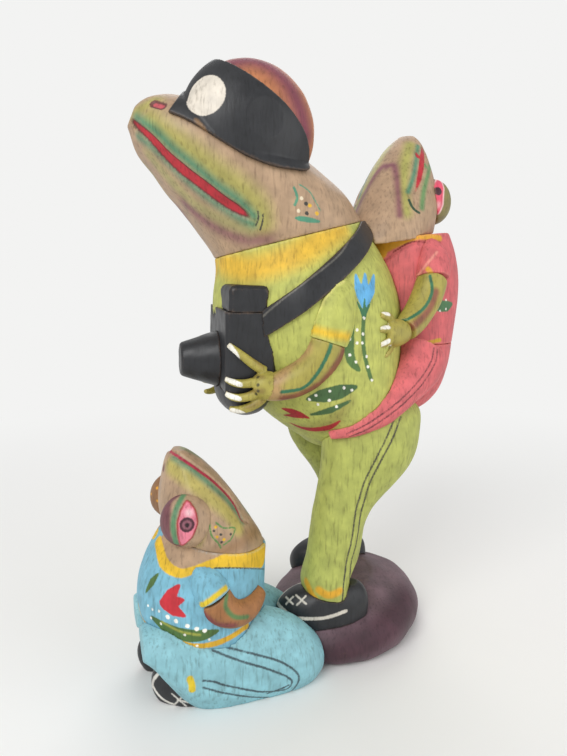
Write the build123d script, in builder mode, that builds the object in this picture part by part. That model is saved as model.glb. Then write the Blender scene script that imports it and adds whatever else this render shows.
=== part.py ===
from build123d import *
import os
from math import cos, pi, sin

# Carved and painted frog group: a standing photographer with a rider on its back,
# a kneeling young frog at its feet, and a rounded rock under the standing frog.
# Millimetres. Z is up, the standing frog faces -Y, its left side is +X, and the
# origin is the middle of the rock's underside.

# Rock
ROCK_HALF_WIDTH = 51.0
ROCK_HALF_DEPTH = 66.0
ROCK_HEIGHT = 36.0
ROCK_TURN = 42.0

# Standing frog
HEM_HEIGHT = 137.0
TORSO_HALF_WIDTH = 58.0
TORSO_HALF_DEPTH = 60.0
TORSO_HEIGHT = 131.0
HEAD_HALF_WIDTH = 46.0
HEAD_HALF_DEPTH = 48.0
HEAD_REACH = 97.0
HEAD_RISE = 66.0
EYE_RADIUS = 38.0
EYE_HALF_WIDTH = 25.0
EYE_SPACING = 44.0
EYE_REACH = 31.0
EYE_RISE = 58.0
ARM_RADIUS = 13.5
PALM_RADIUS = 8.5
FINGER_RADIUS = 2.8
LEG_HALF_WIDTH = 17.0
LEG_HALF_DEPTH = 17.5
LEG_SPACING = 64.0
LEG_BOTTOM = 42.0
LEG_TOP = 168.0
SHOE_HALF_LENGTH = 30.0
SHOE_HALF_WIDTH = 15.5
SHOE_HEIGHT = 25.0
SHOE_BOTTOM = 24.0
SHOE_SPACING = 66.0
LEFT_SHOE_Y = -32.0
LEFT_SHOE_TURN = -16.0
RIGHT_SHOE_Y = 2.0
RIGHT_SHOE_TURN = -8.0

# Worn and carried things
GLASSES_THICKNESS = 3.0
STRAP_WIDTH = 13.0
STRAP_THICKNESS = 2.2
STRAP_ANGLE = 38.0
STRAP_Y = -52.0
STRAP_RISE = 96.5
STRAP_CUT_SIZE = 240.0
CAMERA_WIDTH = 66.0
CAMERA_DEPTH = 30.0
CAMERA_HEIGHT = 47.0
CAMERA_FRONT_Y = -92.5
CAMERA_MIDDLE_Z = 202.0
CAMERA_OFFSET = 5.0
CAMERA_ROLL = 4.0
CAMERA_YAW = -5.0
CAMERA_EDGE = 2.0
PRISM_WIDTH = 38.0
PRISM_DEPTH = 24.0
PRISM_HEIGHT = 15.0
PRISM_OFFSET = 14.0
PRISM_EDGE = 4.0
LENS_LENGTH = 23.0
LENS_BASE_RADIUS = 17.5
LENS_FRONT_RADIUS = 10.0
LENS_DROP = 8.0
LENS_EDGE = 1.0
GRIP_RADIUS = 17.5
GRIP_HALF_WIDTH = 34.0
GRIP_DROP = 25.5
GRIP_SETBACK = 16.0

# Rider on the back
RIDER_Y = 40.0
RIDER_BOTTOM = 155.0
RIDER_HALF_WIDTH = 36.0
RIDER_HALF_DEPTH = 34.0
RIDER_HEIGHT = 117.0
RIDER_HEM = 201.0
RIDER_NECK_Y = 30.0
RIDER_HEAD_HALF_WIDTH = 29.0
RIDER_HEAD_HALF_DEPTH = 36.0
RIDER_HEAD_HEIGHT = 71.0
RIDER_HEAD_TURN = 35.0
RIDER_EYE_RADIUS = 15.5
RIDER_FINGER_RADIUS = 2.8
RIDER_ARM_RADIUS = 11.5
RIDER_LEG_RADIUS = 24.0

# Kneeling frog
KNEELER_X = 28.0
KNEELER_Y = -109.0
KNEELER_HEM = 38.0
KNEELER_HALF_WIDTH = 36.0
KNEELER_HALF_DEPTH = 38.0
KNEELER_HEIGHT = 53.0
KNEELER_HEAD_HALF_WIDTH = 32.0
KNEELER_HEAD_HALF_DEPTH = 30.0
KNEELER_HEAD_HEIGHT = 54.0
KNEELER_EYE_RADIUS = 15.0
KNEELER_ARM_RADIUS = 10.0
KNEELER_LEG_HALF_WIDTH = 21.0
KNEELER_LEG_HEIGHT = 51.0
KNEELER_LEG_LENGTH = 108.0
KNEELER_LEG_SPACING = 36.0
KNEELER_KNEE_Y = -40.0
KNEELER_SHOE_HALF_LENGTH = 25.0
KNEELER_SHOE_HALF_WIDTH = 11.0
KNEELER_SHOE_HEIGHT = 24.0
KNEELER_LEFT_SHOE_X = 10.0
KNEELER_LEFT_SHOE_Y = -123.0
KNEELER_LEFT_SHOE_TURN = 180.0
KNEELER_RIGHT_SHOE_X = 45.5
KNEELER_RIGHT_SHOE_Y = -119.0
KNEELER_RIGHT_SHOE_TURN = 164.0

# Pegs that hold the separate blanks together
HEAD_PEG_RADIUS = 5.0
HEAD_PEG_LENGTH = 50.0
LEG_PEG_RADIUS = 4.0
LEG_PEG_LENGTH = 46.0
LEG_PEG_FOOT = 12.0
CAMERA_PEG_RADIUS = 3.5
CAMERA_PEG_LENGTH = 36.0
RIDER_PEG_RADIUS = 5.0
RIDER_PEG_LENGTH = 44.0
RIDER_PEG_HEIGHT = 222.0

# Shares: rise, lean, half depth, half width of each cross-section, then its tilt in degrees.
# Lean is a share of the half depth, positive to the rear.
ROCK_SHARES = [
    (0.00, 0.0, 0.86, 0.86, 0),
    (0.10, 0.0, 0.94, 0.94, 0),
    (0.33, 0.0, 1.00, 1.00, 0),
    (0.58, 0.0, 0.95, 0.95, 0),
    (0.78, 0.0, 0.80, 0.80, 0),
    (0.92, 0.0, 0.58, 0.58, 0),
    (1.00, 0.0, 0.34, 0.34, 0),
]
TORSO_SHARES = [
    (0.00, 0.00, 0.50, 0.65, 4),
    (0.08, -0.08, 0.65, 0.81, 3),
    (0.21, -0.23, 0.83, 0.93, 2),
    (0.38, -0.37, 0.93, 0.98, 3),
    (0.565, -0.47, 1.00, 1.00, 4),
    (0.75, -0.55, 0.98, 0.965, 6),
    (0.89, -0.63, 0.88, 0.86, 10),
    (1.00, -0.73, 0.80, 0.78, 14.6),
]
LEFT_LEG_SHARES = [
    (0.00, -1.55, 0.97, 0.94, -8),
    (0.19, -1.43, 0.98, 0.95, 0),
    (0.36, -1.22, 1.00, 0.97, 0),
    (0.50, -0.78, 1.26, 1.06, 0),
    (0.63, -0.18, 1.68, 1.20, 0),
    (0.77, 0.08, 1.86, 1.28, 0),
    (0.90, 0.17, 1.86, 1.18, 0),
    (1.00, -0.10, 1.50, 0.95, 0),
]
RIGHT_LEG_SHARES = [
    (0.00, 0.40, 0.97, 0.94, 0),
    (0.19, 0.72, 1.06, 0.97, 0),
    (0.35, 1.05, 1.28, 1.02, 0),
    (0.48, 0.85, 1.42, 1.08, 0),
    (0.63, 0.35, 1.70, 1.20, 0),
    (0.77, 0.12, 1.88, 1.28, 0),
    (0.90, 0.17, 1.86, 1.18, 0),
    (1.00, -0.10, 1.50, 0.95, 0),
]
YOUNG_HEAD_SHARES = [
    (0.00, 0.00, 1.00, 0.97, 12),
    (0.19, 0.11, 0.96, 1.00, 12),
    (0.435, 0.26, 0.81, 0.91, 12),
    (0.685, 0.41, 0.58, 0.69, 9),
    (0.89, 0.59, 0.33, 0.44, 2),
    (1.00, 0.68, 0.13, 0.19, 0),
]
RIDER_SHARES = [
    (0.00, -0.40, 0.55, 0.66, 0),
    (0.12, -0.10, 0.86, 0.94, 0),
    (0.29, 0.04, 0.94, 1.00, 0),
    (0.44, 0.12, 0.96, 0.96, 0),
    (0.66, 0.18, 1.02, 0.90, 0),
    (0.86, 0.14, 1.00, 0.87, 3),
    (1.00, 0.04, 0.90, 0.82, 7),
]
KNEELER_SHARES = [
    (0.00, 0.00, 0.97, 0.97, 11),
    (0.34, 0.03, 1.00, 1.00, 8),
    (0.70, -0.05, 0.94, 0.96, 10),
    (1.00, -0.19, 0.83, 0.86, 12),
]
SHOE_SHARES = [
    (0.00, 0.00, 0.95, 0.92, 0),
    (0.35, 0.00, 1.00, 1.00, 0),
    (0.65, 0.05, 0.93, 0.92, 0),
    (0.90, 0.16, 0.72, 0.72, 0),
    (1.00, 0.24, 0.52, 0.52, 0),
]
KNEELER_SHOE_SHARES = [
    (0.00, -0.10, 0.92, 0.84, 0),
    (0.30, -0.04, 1.00, 1.00, 0),
    (0.70, 0.04, 0.90, 0.94, 0),
    (0.93, 0.12, 0.62, 0.66, 0),
    (1.00, 0.16, 0.34, 0.36, 0),
]

# Shares: forward reach, rise, half depth, half width, tilt in degrees.
HEAD_SHARES = [
    (0.00, 0.00, 1.00, 0.98, 14.6),
    (0.07, 0.15, 1.00, 1.00, 13.5),
    (0.195, 0.35, 0.96, 1.00, 14),
    (0.34, 0.52, 0.85, 0.98, 19),
    (0.50, 0.69, 0.71, 0.91, 29),
    (0.665, 0.83, 0.55, 0.80, 41),
    (0.81, 0.92, 0.425, 0.63, 54),
    (0.91, 0.97, 0.30, 0.41, 65),
    (0.985, 0.985, 0.11, 0.17, 68),
]

# Shares of the folded leg's length, height and half width: distance from the knee,
# middle height, half height, half width.
KNEELER_LEG_SHARES = [
    (0.00, 0.22, 0.17, 0.42),
    (0.06, 0.25, 0.32, 0.72),
    (0.20, 0.31, 0.49, 0.96),
    (0.42, 0.37, 0.60, 1.00),
    (0.68, 0.44, 0.58, 1.00),
    (0.86, 0.62, 0.38, 0.92),
    (1.00, 0.78, 0.16, 0.60),
]

# Shares of the half width, half depth and height of the body that carries the limb,
# then the share of the limb's radius.
SLEEVE_SHARES = [
    (0.84, -0.50, 0.80, 0.45),
    (0.87, -0.54, 0.72, 0.86),
    (0.88, -0.60, 0.62, 1.00),
    (0.87, -0.66, 0.53, 0.96),
]
FOREARM_SHARES = [
    (0.87, -0.66, 0.53, 0.90),
    (0.86, -0.72, 0.45, 0.86),
    (0.81, -0.86, 0.38, 0.76),
    (0.74, -1.06, 0.335, 0.66),
    (0.69, -1.22, 0.325, 0.56),
]
PALM_SHARES = [
    (0.71, -1.10, 0.335, 0.75),
    (0.71, -1.18, 0.335, 1.00),
    (0.70, -1.26, 0.335, 0.95),
    (0.68, -1.33, 0.335, 0.60),
]
FINGER_PATH_SHARES = [
    [(0.70, -1.22, 0.40, 1.0), (0.71, -1.34, 0.435, 1.0),
     (0.70, -1.45, 0.475, 0.85), (0.67, -1.57, 0.520, 0.55)],
    [(0.71, -1.25, 0.365, 1.0), (0.72, -1.36, 0.352, 1.0),
     (0.68, -1.48, 0.350, 0.85), (0.62, -1.59, 0.370, 0.55)],
    [(0.71, -1.25, 0.32, 1.0), (0.71, -1.36, 0.295, 1.0),
     (0.67, -1.48, 0.285, 0.85), (0.61, -1.585, 0.305, 0.55)],
    [(0.70, -1.23, 0.285, 1.0), (0.69, -1.33, 0.250, 1.0),
     (0.64, -1.44, 0.230, 0.85), (0.58, -1.54, 0.232, 0.55)],
]
RIDER_LEG_SHARES = [
    (0.52, 0.59, 0.46, 0.74),
    (0.62, 0.45, 0.344, 0.67),
    (0.74, 0.23, 0.275, 0.52),
    (0.83, -0.08, 0.176, 0.375),
    (0.81, -0.30, 0.126, 0.25),
    (0.70, -0.53, 0.084, 0.105),
]
RIDER_SLEEVE_SHARES = [
    (0.66, 0.10, 0.95, 0.62),
    (0.82, 0.14, 0.86, 0.92),
    (0.92, 0.09, 0.76, 0.96),
]
RIDER_FOREARM_SHARES = [
    (0.92, 0.09, 0.76, 0.86),
    (1.00, -0.09, 0.65, 0.86),
    (1.08, -0.35, 0.555, 0.80),
    (1.25, -0.69, 0.487, 0.68),
]
RIDER_PALM_SHARES = [
    (1.22, -0.70, 0.478, 0.62),
    (1.29, -1.02, 0.468, 0.74),
    (1.36, -1.22, 0.468, 0.55),
]
RIDER_FINGER_PATH_SHARES = [
    [(1.26, -1.00, 0.531, 1.0), (1.40, -1.16, 0.557, 1.0), (1.48, -1.34, 0.567, 0.6)],
    [(1.30, -1.02, 0.489, 1.0), (1.43, -1.18, 0.494, 1.0), (1.51, -1.36, 0.494, 0.6)],
    [(1.30, -1.02, 0.447, 1.0), (1.43, -1.18, 0.427, 1.0), (1.50, -1.36, 0.416, 0.6)],
    [(1.26, -1.00, 0.406, 1.0), (1.38, -1.16, 0.369, 1.0), (1.45, -1.34, 0.343, 0.6)],
]
KNEELER_SLEEVE_SHARES = [
    (0.70, 0.20, 0.86, 0.60),
    (0.82, 0.12, 0.74, 0.95),
    (0.88, 0.00, 0.57, 1.00),
]
KNEELER_FOREARM_SHARES = [
    (0.88, 0.00, 0.57, 0.93),
    (0.89, -0.14, 0.40, 0.95),
    (0.85, -0.36, 0.34, 0.85),
    (0.73, -0.58, 0.36, 0.72),
    (0.57, -0.74, 0.42, 0.55),
]

# Side outline of the sunglasses, in shares of the eye's radius along and across the gaze,
# from the upper front corner round the rear end to the lower front corner.
GLASSES_SHARES = [
    (1.09, 0.42), (0.40, 0.37), (-0.22, 0.36), (-0.61, 0.28), (-0.88, 0.12),
    (-0.96, -0.06), (-0.82, -0.22), (-0.56, -0.40), (-0.25, -0.53), (0.41, -0.61),
    (1.09, -0.66),
]
GAZE_ANGLE = 34.5

# Eye places on a young frog's head, in shares of its half width, half depth and height
YOUNG_EYE_SHARES = (0.69, 0.65, 0.35)
YOUNG_EYE_WIDTH_SHARE = 0.85

# No limb runs along this direction, so every section of a limb starts on the same side of it
# and the two limbs of a pair are true mirror images.
ACROSS = Vector(1, 0, 0)

QUARTER_STEPS = 3
BALL_STEPS = 3
BALL_END_ANGLE = 75.0


def oval(half_width, half_depth):
    """Draw a closed oval, as four smooth quarters, in the line that is being built."""
    for quarter in range(4):
        turns = [pi / 2 * (quarter + step / QUARTER_STEPS) for step in range(QUARTER_STEPS + 1)]
        points = [(half_width * cos(turn), half_depth * sin(turn)) for turn in turns]
        Spline(*points, tangents=[(-sin(turn), cos(turn)) for turn in (turns[0], turns[-1])])


def stacked_form(base, half_width, half_depth, height, shares, grow=0.0):
    """Solid through stacked ovals, each leaning and tilting over the base."""
    with BuildPart() as form:
        for rise, lean, depth, width, tilt in shares:
            with BuildSketch(base * Location((0, lean * half_depth, rise * height), (tilt, 0, 0))):
                with BuildLine():
                    oval(width * half_width + grow, depth * half_depth + grow)
                make_face()
        loft()
    return form


def standing_head_form(grow=0.0):
    """Head of the standing frog, from the collar up and forward to the snout."""
    with BuildPart() as form:
        for reach, rise, depth, width, tilt in HEAD_SHARES:
            with BuildSketch(COLLAR * Location((0, -reach * HEAD_REACH, rise * HEAD_RISE), (tilt, 0, 0))):
                with BuildLine():
                    oval(width * HEAD_HALF_WIDTH + grow, depth * HEAD_HALF_DEPTH + grow)
                make_face()
        loft()
    return form


def limb(base, half_width, half_depth, height, shares, radius, side=1):
    """Solid through round cross-sections along a path, each square to the path."""
    points = [Vector(side * x * half_width, y * half_depth, z * height) for x, y, z, _ in shares]
    last = len(points) - 1
    with BuildPart() as form:
        for index, point in enumerate(points):
            run = points[min(index + 1, last)] - points[max(index - 1, 0)]
            square = Plane(origin=point, x_dir=run.cross(ACROSS), z_dir=run)
            with BuildSketch(base * square.location):
                Circle(shares[index][3] * radius)
        loft()
    return form


def hand(base, half_width, half_depth, height, palm_shares, palm_radius, finger_paths, finger_radius, side=1):
    """Palm with its fingers as one carved piece."""
    body = (half_width, half_depth, height)
    with BuildPart() as form:
        add(limb(base, *body, palm_shares, palm_radius, side).part)
        for path_shares in finger_paths:
            add(limb(base, *body, path_shares, finger_radius, side).part)
    return form


def folded_leg(side):
    """Kneeling leg from the knee back to the seat, thigh and shin together, cut flat below."""
    middle_x = KNEELER_X + side * KNEELER_LEG_SPACING / 2
    with BuildPart() as form:
        for away, middle, tall, wide in KNEELER_LEG_SHARES:
            place = (middle_x, KNEELER_KNEE_Y - away * KNEELER_LEG_LENGTH, middle * KNEELER_LEG_HEIGHT)
            with BuildSketch(Plane(origin=place, x_dir=(1, 0, 0), z_dir=(0, -1, 0))):
                with BuildLine():
                    oval(wide * KNEELER_LEG_HALF_WIDTH, tall * KNEELER_LEG_HEIGHT)
                make_face()
        loft()
        split(bisect_by=Plane.XY, keep=Keep.TOP)
    return form


def ball(place, radius, half_width):
    """Bulging form, round in side view, stacked along the X direction of its place."""
    with BuildPart() as form:
        for step in range(-BALL_STEPS, BALL_STEPS + 1):
            turn = step / BALL_STEPS * BALL_END_ANGLE * pi / 180
            with BuildSketch(place * Location((half_width * sin(turn), 0, 0), (0, 90, 0))):
                Circle(radius * cos(turn))
        loft()
    return form


def young_head(neck, half_width, half_depth, height):
    """Head of a young frog that looks up."""
    return stacked_form(neck, half_width, half_depth, height, YOUNG_HEAD_SHARES)


def young_eye(neck, half_width, half_depth, height, radius, sign):
    """One bulging eye on a young frog's head."""
    across, back, rise = YOUNG_EYE_SHARES
    place = neck * Location((sign * across * half_width, back * half_depth, rise * height))
    return ball(place, radius, YOUNG_EYE_WIDTH_SHARE * radius)


def bar(place, radius, length):
    """Round bar centred on a place, along the place's Z direction."""
    with BuildPart() as form:
        with Locations(place):
            Cylinder(radius, length)
    return form


def trimmed(form, *cutters):
    """A form less the space of its neighbours; only its largest solid stays."""
    with BuildPart() as piece:
        add(form.part)
        for cutter in cutters:
            add(cutter.part, mode=Mode.SUBTRACT)
        add(piece.part.solids().sort_by(SortBy.VOLUME)[-1], mode=Mode.REPLACE)
    return piece


def kept_side(form, plane, keep):
    """One side of a form that a plane cuts."""
    with BuildPart() as piece:
        add(form.part)
        split(bisect_by=plane, keep=keep)
    return piece


def write_piece(piece, name):
    """Label one finished piece and write its file."""
    piece.part.label = name
    export_step(piece.part, f"parts/{name}.step")


os.makedirs("parts", exist_ok=True)

# Base planes of the figures; local -Y is the way each one faces
STANDING = Plane(origin=(0, 0, HEM_HEIGHT))
COLLAR_LEAN_SHARE = TORSO_SHARES[-1][1]
COLLAR_TILT = TORSO_SHARES[-1][4]
COLLAR = Plane(origin=(0, COLLAR_LEAN_SHARE * TORSO_HALF_DEPTH, HEM_HEIGHT + TORSO_HEIGHT))
EYE_Y = COLLAR.origin.Y - EYE_REACH
EYE_Z = COLLAR.origin.Z + EYE_RISE
RIDER = Plane(origin=(0, RIDER_Y, RIDER_BOTTOM))
RIDER_NECK = Plane(Location((0, RIDER_NECK_Y, RIDER_BOTTOM + RIDER_HEIGHT), (0, 0, RIDER_HEAD_TURN)))
ROCK = Plane(Location((0, 0, 0), (0, 0, ROCK_TURN)))
CAMERA = Plane(Location((CAMERA_OFFSET, CAMERA_FRONT_Y, CAMERA_MIDDLE_Z), (0, CAMERA_ROLL, CAMERA_YAW)))
CAMERA_FACE = Plane(CAMERA * Location((0, 0, -LENS_DROP), (90, 0, 0)))
CAMERA_UPRIGHT = Axis(CAMERA.origin, CAMERA.z_dir)
CAMERA_SIDEWAYS = Axis(CAMERA.origin, CAMERA.x_dir)
CAMERA_GAZE = Axis(CAMERA_FACE.origin, CAMERA_FACE.z_dir)
KNEELER = Plane(Location((KNEELER_X, KNEELER_Y, KNEELER_HEM), (0, 0, 180)))
KNEELER_NECK = Plane(KNEELER * Location((0, KNEELER_SHARES[-1][1] * KNEELER_HALF_DEPTH, KNEELER_HEIGHT)))
KNEELER_MIDDLE = Plane.YZ.offset(KNEELER_X)
TORSO_SIZE = (TORSO_HALF_WIDTH, TORSO_HALF_DEPTH, TORSO_HEIGHT)
RIDER_SIZE = (RIDER_HALF_WIDTH, RIDER_HALF_DEPTH, RIDER_HEIGHT)
KNEELER_SIZE = (KNEELER_HALF_WIDTH, KNEELER_HALF_DEPTH, KNEELER_HEIGHT)
SIDES = {"left": 1, "right": -1}
OWN_HALF = {"left": Keep.TOP, "right": Keep.BOTTOM}

# Pegs inside the joints between separate blanks
LEG_MIDDLES = {
    "left": (LEG_SPACING / 2, LEFT_LEG_SHARES[1][1] * LEG_HALF_DEPTH),
    "right": (-LEG_SPACING / 2, RIGHT_LEG_SHARES[0][1] * LEG_HALF_DEPTH),
}
head_peg = bar(COLLAR * Location((0, 0, 0), (COLLAR_TILT, 0, 0)), HEAD_PEG_RADIUS, HEAD_PEG_LENGTH)
leg_pegs = {
    side: bar(Location((*middle, LEG_PEG_FOOT + LEG_PEG_LENGTH / 2)), LEG_PEG_RADIUS, LEG_PEG_LENGTH)
    for side, middle in LEG_MIDDLES.items()
}
camera_peg = bar(
    CAMERA_FACE * Location((0, 0, (LENS_LENGTH - CAMERA_PEG_LENGTH) / 2)), CAMERA_PEG_RADIUS, CAMERA_PEG_LENGTH
)
rider_peg = bar(Location((0, RIDER_Y - RIDER_PEG_LENGTH / 2, RIDER_PEG_HEIGHT), (90, 0, 0)),
                RIDER_PEG_RADIUS, RIDER_PEG_LENGTH)

# Standing frog: torso, head, eyes and legs
torso_form = stacked_form(STANDING, *TORSO_SIZE, TORSO_SHARES)
torso = trimmed(torso_form, head_peg, camera_peg, rider_peg)
head_form = standing_head_form()
head = trimmed(head_form, head_peg)
rock_form = stacked_form(ROCK, ROCK_HALF_WIDTH, ROCK_HALF_DEPTH, ROCK_HEIGHT, ROCK_SHARES)
rock = trimmed(rock_form, *leg_pegs.values())
eye_places = {side: Location((sign * EYE_SPACING / 2, EYE_Y, EYE_Z)) for side, sign in SIDES.items()}
eye_forms = {
    side: kept_side(ball(eye_places[side], EYE_RADIUS, EYE_HALF_WIDTH), Plane.YZ, OWN_HALF[side])
    for side in SIDES
}
eyes = {side: trimmed(eye_forms[side], head_form) for side in SIDES}
leg_shares = {"left": LEFT_LEG_SHARES, "right": RIGHT_LEG_SHARES}
shoe_places = {"left": LEFT_SHOE_Y, "right": RIGHT_SHOE_Y}
shoe_turns = {"left": LEFT_SHOE_TURN, "right": RIGHT_SHOE_TURN}
legs = {}
shoes = {}
for side, sign in SIDES.items():
    leg_base = Plane(origin=(sign * LEG_SPACING / 2, 0, LEG_BOTTOM))
    leg_form = stacked_form(leg_base, LEG_HALF_WIDTH, LEG_HALF_DEPTH, LEG_TOP - LEG_BOTTOM, leg_shares[side])
    legs[side] = trimmed(kept_side(leg_form, Plane.YZ, OWN_HALF[side]), torso_form, leg_pegs[side])
    shoe_middle = (sign * SHOE_SPACING / 2, shoe_places[side], SHOE_BOTTOM)
    shoe_base = Plane(Location(shoe_middle, (0, 0, shoe_turns[side])))
    shoe_form = stacked_form(shoe_base, SHOE_HALF_WIDTH, SHOE_HALF_LENGTH, SHOE_HEIGHT, SHOE_SHARES)
    shoes[side] = trimmed(shoe_form, rock_form, leg_form, leg_pegs[side])

# Sunglasses: a thick visor round both eyes, its outline cut in side view
GAZE = Plane(
    origin=(0, EYE_Y, EYE_Z),
    x_dir=(0, -cos(GAZE_ANGLE * pi / 180), sin(GAZE_ANGLE * pi / 180)),
    z_dir=(-1, 0, 0),
)
with BuildPart() as glasses_outline:
    with BuildSketch(GAZE):
        with BuildLine():
            rim = Spline(*[(along * EYE_RADIUS, across * EYE_RADIUS) for along, across in GLASSES_SHARES])
            Line(rim @ 1, rim @ 0)
        make_face()
    extrude(amount=EYE_SPACING / 2 + EYE_RADIUS, both=True)
with BuildPart() as glasses_form:
    add(standing_head_form(GLASSES_THICKNESS).part)
    for side in SIDES:
        add(ball(eye_places[side], EYE_RADIUS + GLASSES_THICKNESS, EYE_HALF_WIDTH + GLASSES_THICKNESS).part)
    add(bar(Location((0, EYE_Y, EYE_Z), (0, 90, 0)), EYE_RADIUS, EYE_SPACING).part)
    add(glasses_outline.part, mode=Mode.INTERSECT)
sunglasses = trimmed(glasses_form, head_form, *eye_forms.values())

# Camera in front of the belly
with BuildPart() as camera_form:
    with Locations(CAMERA * Location((0, CAMERA_DEPTH / 2, 0))):
        Box(CAMERA_WIDTH, CAMERA_DEPTH, CAMERA_HEIGHT)
    chamfer(camera_form.edges().filter_by(CAMERA_UPRIGHT), CAMERA_EDGE)
with BuildPart() as prism_form:
    prism_middle = (PRISM_OFFSET, CAMERA_EDGE + PRISM_DEPTH / 2, (CAMERA_HEIGHT + PRISM_HEIGHT) / 2)
    with Locations(CAMERA * Location(prism_middle)):
        Box(PRISM_WIDTH, PRISM_DEPTH, PRISM_HEIGHT)
    fillet(prism_form.edges().filter_by(CAMERA_SIDEWAYS).sort_by(CAMERA_UPRIGHT)[-2:], PRISM_EDGE)
    chamfer(prism_form.edges().filter_by(CAMERA_UPRIGHT), CAMERA_EDGE)
with BuildPart() as lens_form:
    with BuildSketch(CAMERA_FACE):
        Circle(LENS_BASE_RADIUS)
    with BuildSketch(CAMERA_FACE.offset(LENS_LENGTH)):
        Circle(LENS_FRONT_RADIUS)
    loft()
    chamfer(lens_form.edges().sort_by(CAMERA_GAZE)[-1], LENS_EDGE)
grip_form = ball(CAMERA * Location((0, GRIP_SETBACK, -GRIP_DROP)), GRIP_RADIUS, GRIP_HALF_WIDTH)
camera = trimmed(camera_form, torso_form, camera_peg)
prism = trimmed(prism_form, torso_form)
lens = trimmed(lens_form, camera_peg)
grip = trimmed(grip_form, torso_form, camera_form, lens_form)

# Strap over the shoulders: a band of even width round the torso
with BuildPart() as strap_form:
    with Locations(Location((0, STRAP_Y, HEM_HEIGHT + STRAP_RISE), (STRAP_ANGLE, 0, 0))):
        Box(STRAP_CUT_SIZE, STRAP_CUT_SIZE, STRAP_WIDTH)
    add(stacked_form(STANDING, *TORSO_SIZE, TORSO_SHARES, STRAP_THICKNESS).part, mode=Mode.INTERSECT)
straps = {
    side: trimmed(kept_side(strap_form, Plane.YZ, OWN_HALF[side]), torso_form, head_form, camera_form)
    for side in SIDES
}

# Arms of the standing frog
sleeves = {}
forearms = {}
hands = {}
for side, sign in SIDES.items():
    sleeve_form = limb(STANDING, *TORSO_SIZE, SLEEVE_SHARES, ARM_RADIUS, sign)
    forearm_form = limb(STANDING, *TORSO_SIZE, FOREARM_SHARES, ARM_RADIUS, sign)
    hand_form = hand(STANDING, *TORSO_SIZE, PALM_SHARES, PALM_RADIUS, FINGER_PATH_SHARES, FINGER_RADIUS, sign)
    sleeves[side] = trimmed(sleeve_form, torso_form, strap_form)
    forearms[side] = trimmed(forearm_form, torso_form, sleeve_form, camera_form, grip_form)
    hands[side] = trimmed(hand_form, torso_form, forearm_form, camera_form, grip_form)

# Rider: trousers, shirt, head and eyes behind the standing frog
rider_form = stacked_form(RIDER, *RIDER_SIZE, RIDER_SHARES)
RIDER_HEM_CUT = Plane.XY.offset(RIDER_HEM)
rider_upper = kept_side(rider_form, RIDER_HEM_CUT, Keep.TOP)
rider_lower = kept_side(rider_form, RIDER_HEM_CUT, Keep.BOTTOM)
rider_torso = trimmed(rider_upper, torso_form, strap_form, head_form, rider_peg)
rider_trousers = trimmed(rider_lower, torso_form, legs["left"], legs["right"])
RIDER_HEAD_SIZE = (RIDER_HEAD_HALF_WIDTH, RIDER_HEAD_HALF_DEPTH, RIDER_HEAD_HEIGHT)
rider_head_form = young_head(RIDER_NECK, *RIDER_HEAD_SIZE)
rider_head = trimmed(rider_head_form, rider_form, torso_form, head_form, strap_form)
rider_eyes = {
    side: trimmed(young_eye(RIDER_NECK, *RIDER_HEAD_SIZE, RIDER_EYE_RADIUS, sign), rider_head_form)
    for side, sign in SIDES.items()
}
rider_legs = {}
rider_sleeves = {}
rider_forearms = {}
rider_hands = {}
for side, sign in SIDES.items():
    leg_form = limb(STANDING, *TORSO_SIZE, RIDER_LEG_SHARES, RIDER_LEG_RADIUS, sign)
    rider_legs[side] = trimmed(leg_form, torso_form, rider_form, legs[side])
    sleeve_form = limb(RIDER, *RIDER_SIZE, RIDER_SLEEVE_SHARES, RIDER_ARM_RADIUS, sign)
    forearm_form = limb(RIDER, *RIDER_SIZE, RIDER_FOREARM_SHARES, RIDER_ARM_RADIUS, sign)
    hand_form = hand(RIDER, *RIDER_SIZE, RIDER_PALM_SHARES, RIDER_ARM_RADIUS,
                     RIDER_FINGER_PATH_SHARES, RIDER_FINGER_RADIUS, sign)
    rider_sleeves[side] = trimmed(sleeve_form, rider_form, torso_form)
    rider_forearms[side] = trimmed(forearm_form, rider_form, torso_form, sleeve_form, leg_form)
    rider_hands[side] = trimmed(hand_form, torso_form, forearm_form, leg_form)

# Kneeling frog, which faces the standing one; its own left side is away from +X
kneeler_form = stacked_form(KNEELER, *KNEELER_SIZE, KNEELER_SHARES)
KNEELER_HEAD_SIZE = (KNEELER_HEAD_HALF_WIDTH, KNEELER_HEAD_HALF_DEPTH, KNEELER_HEAD_HEIGHT)
kneeler_head_form = young_head(KNEELER_NECK, *KNEELER_HEAD_SIZE)
kneeler_head = trimmed(kneeler_head_form, kneeler_form)
kneeler_eyes = {}
kneeler_legs = {}
kneeler_shoes = {}
kneeler_sleeves = {}
kneeler_forearms = {}
KNEELER_HALF = {"left": Keep.BOTTOM, "right": Keep.TOP}
KNEELER_SHOE_PLACES = {
    "left": (KNEELER_LEFT_SHOE_X, KNEELER_LEFT_SHOE_Y, KNEELER_LEFT_SHOE_TURN),
    "right": (KNEELER_RIGHT_SHOE_X, KNEELER_RIGHT_SHOE_Y, KNEELER_RIGHT_SHOE_TURN),
}
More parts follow.
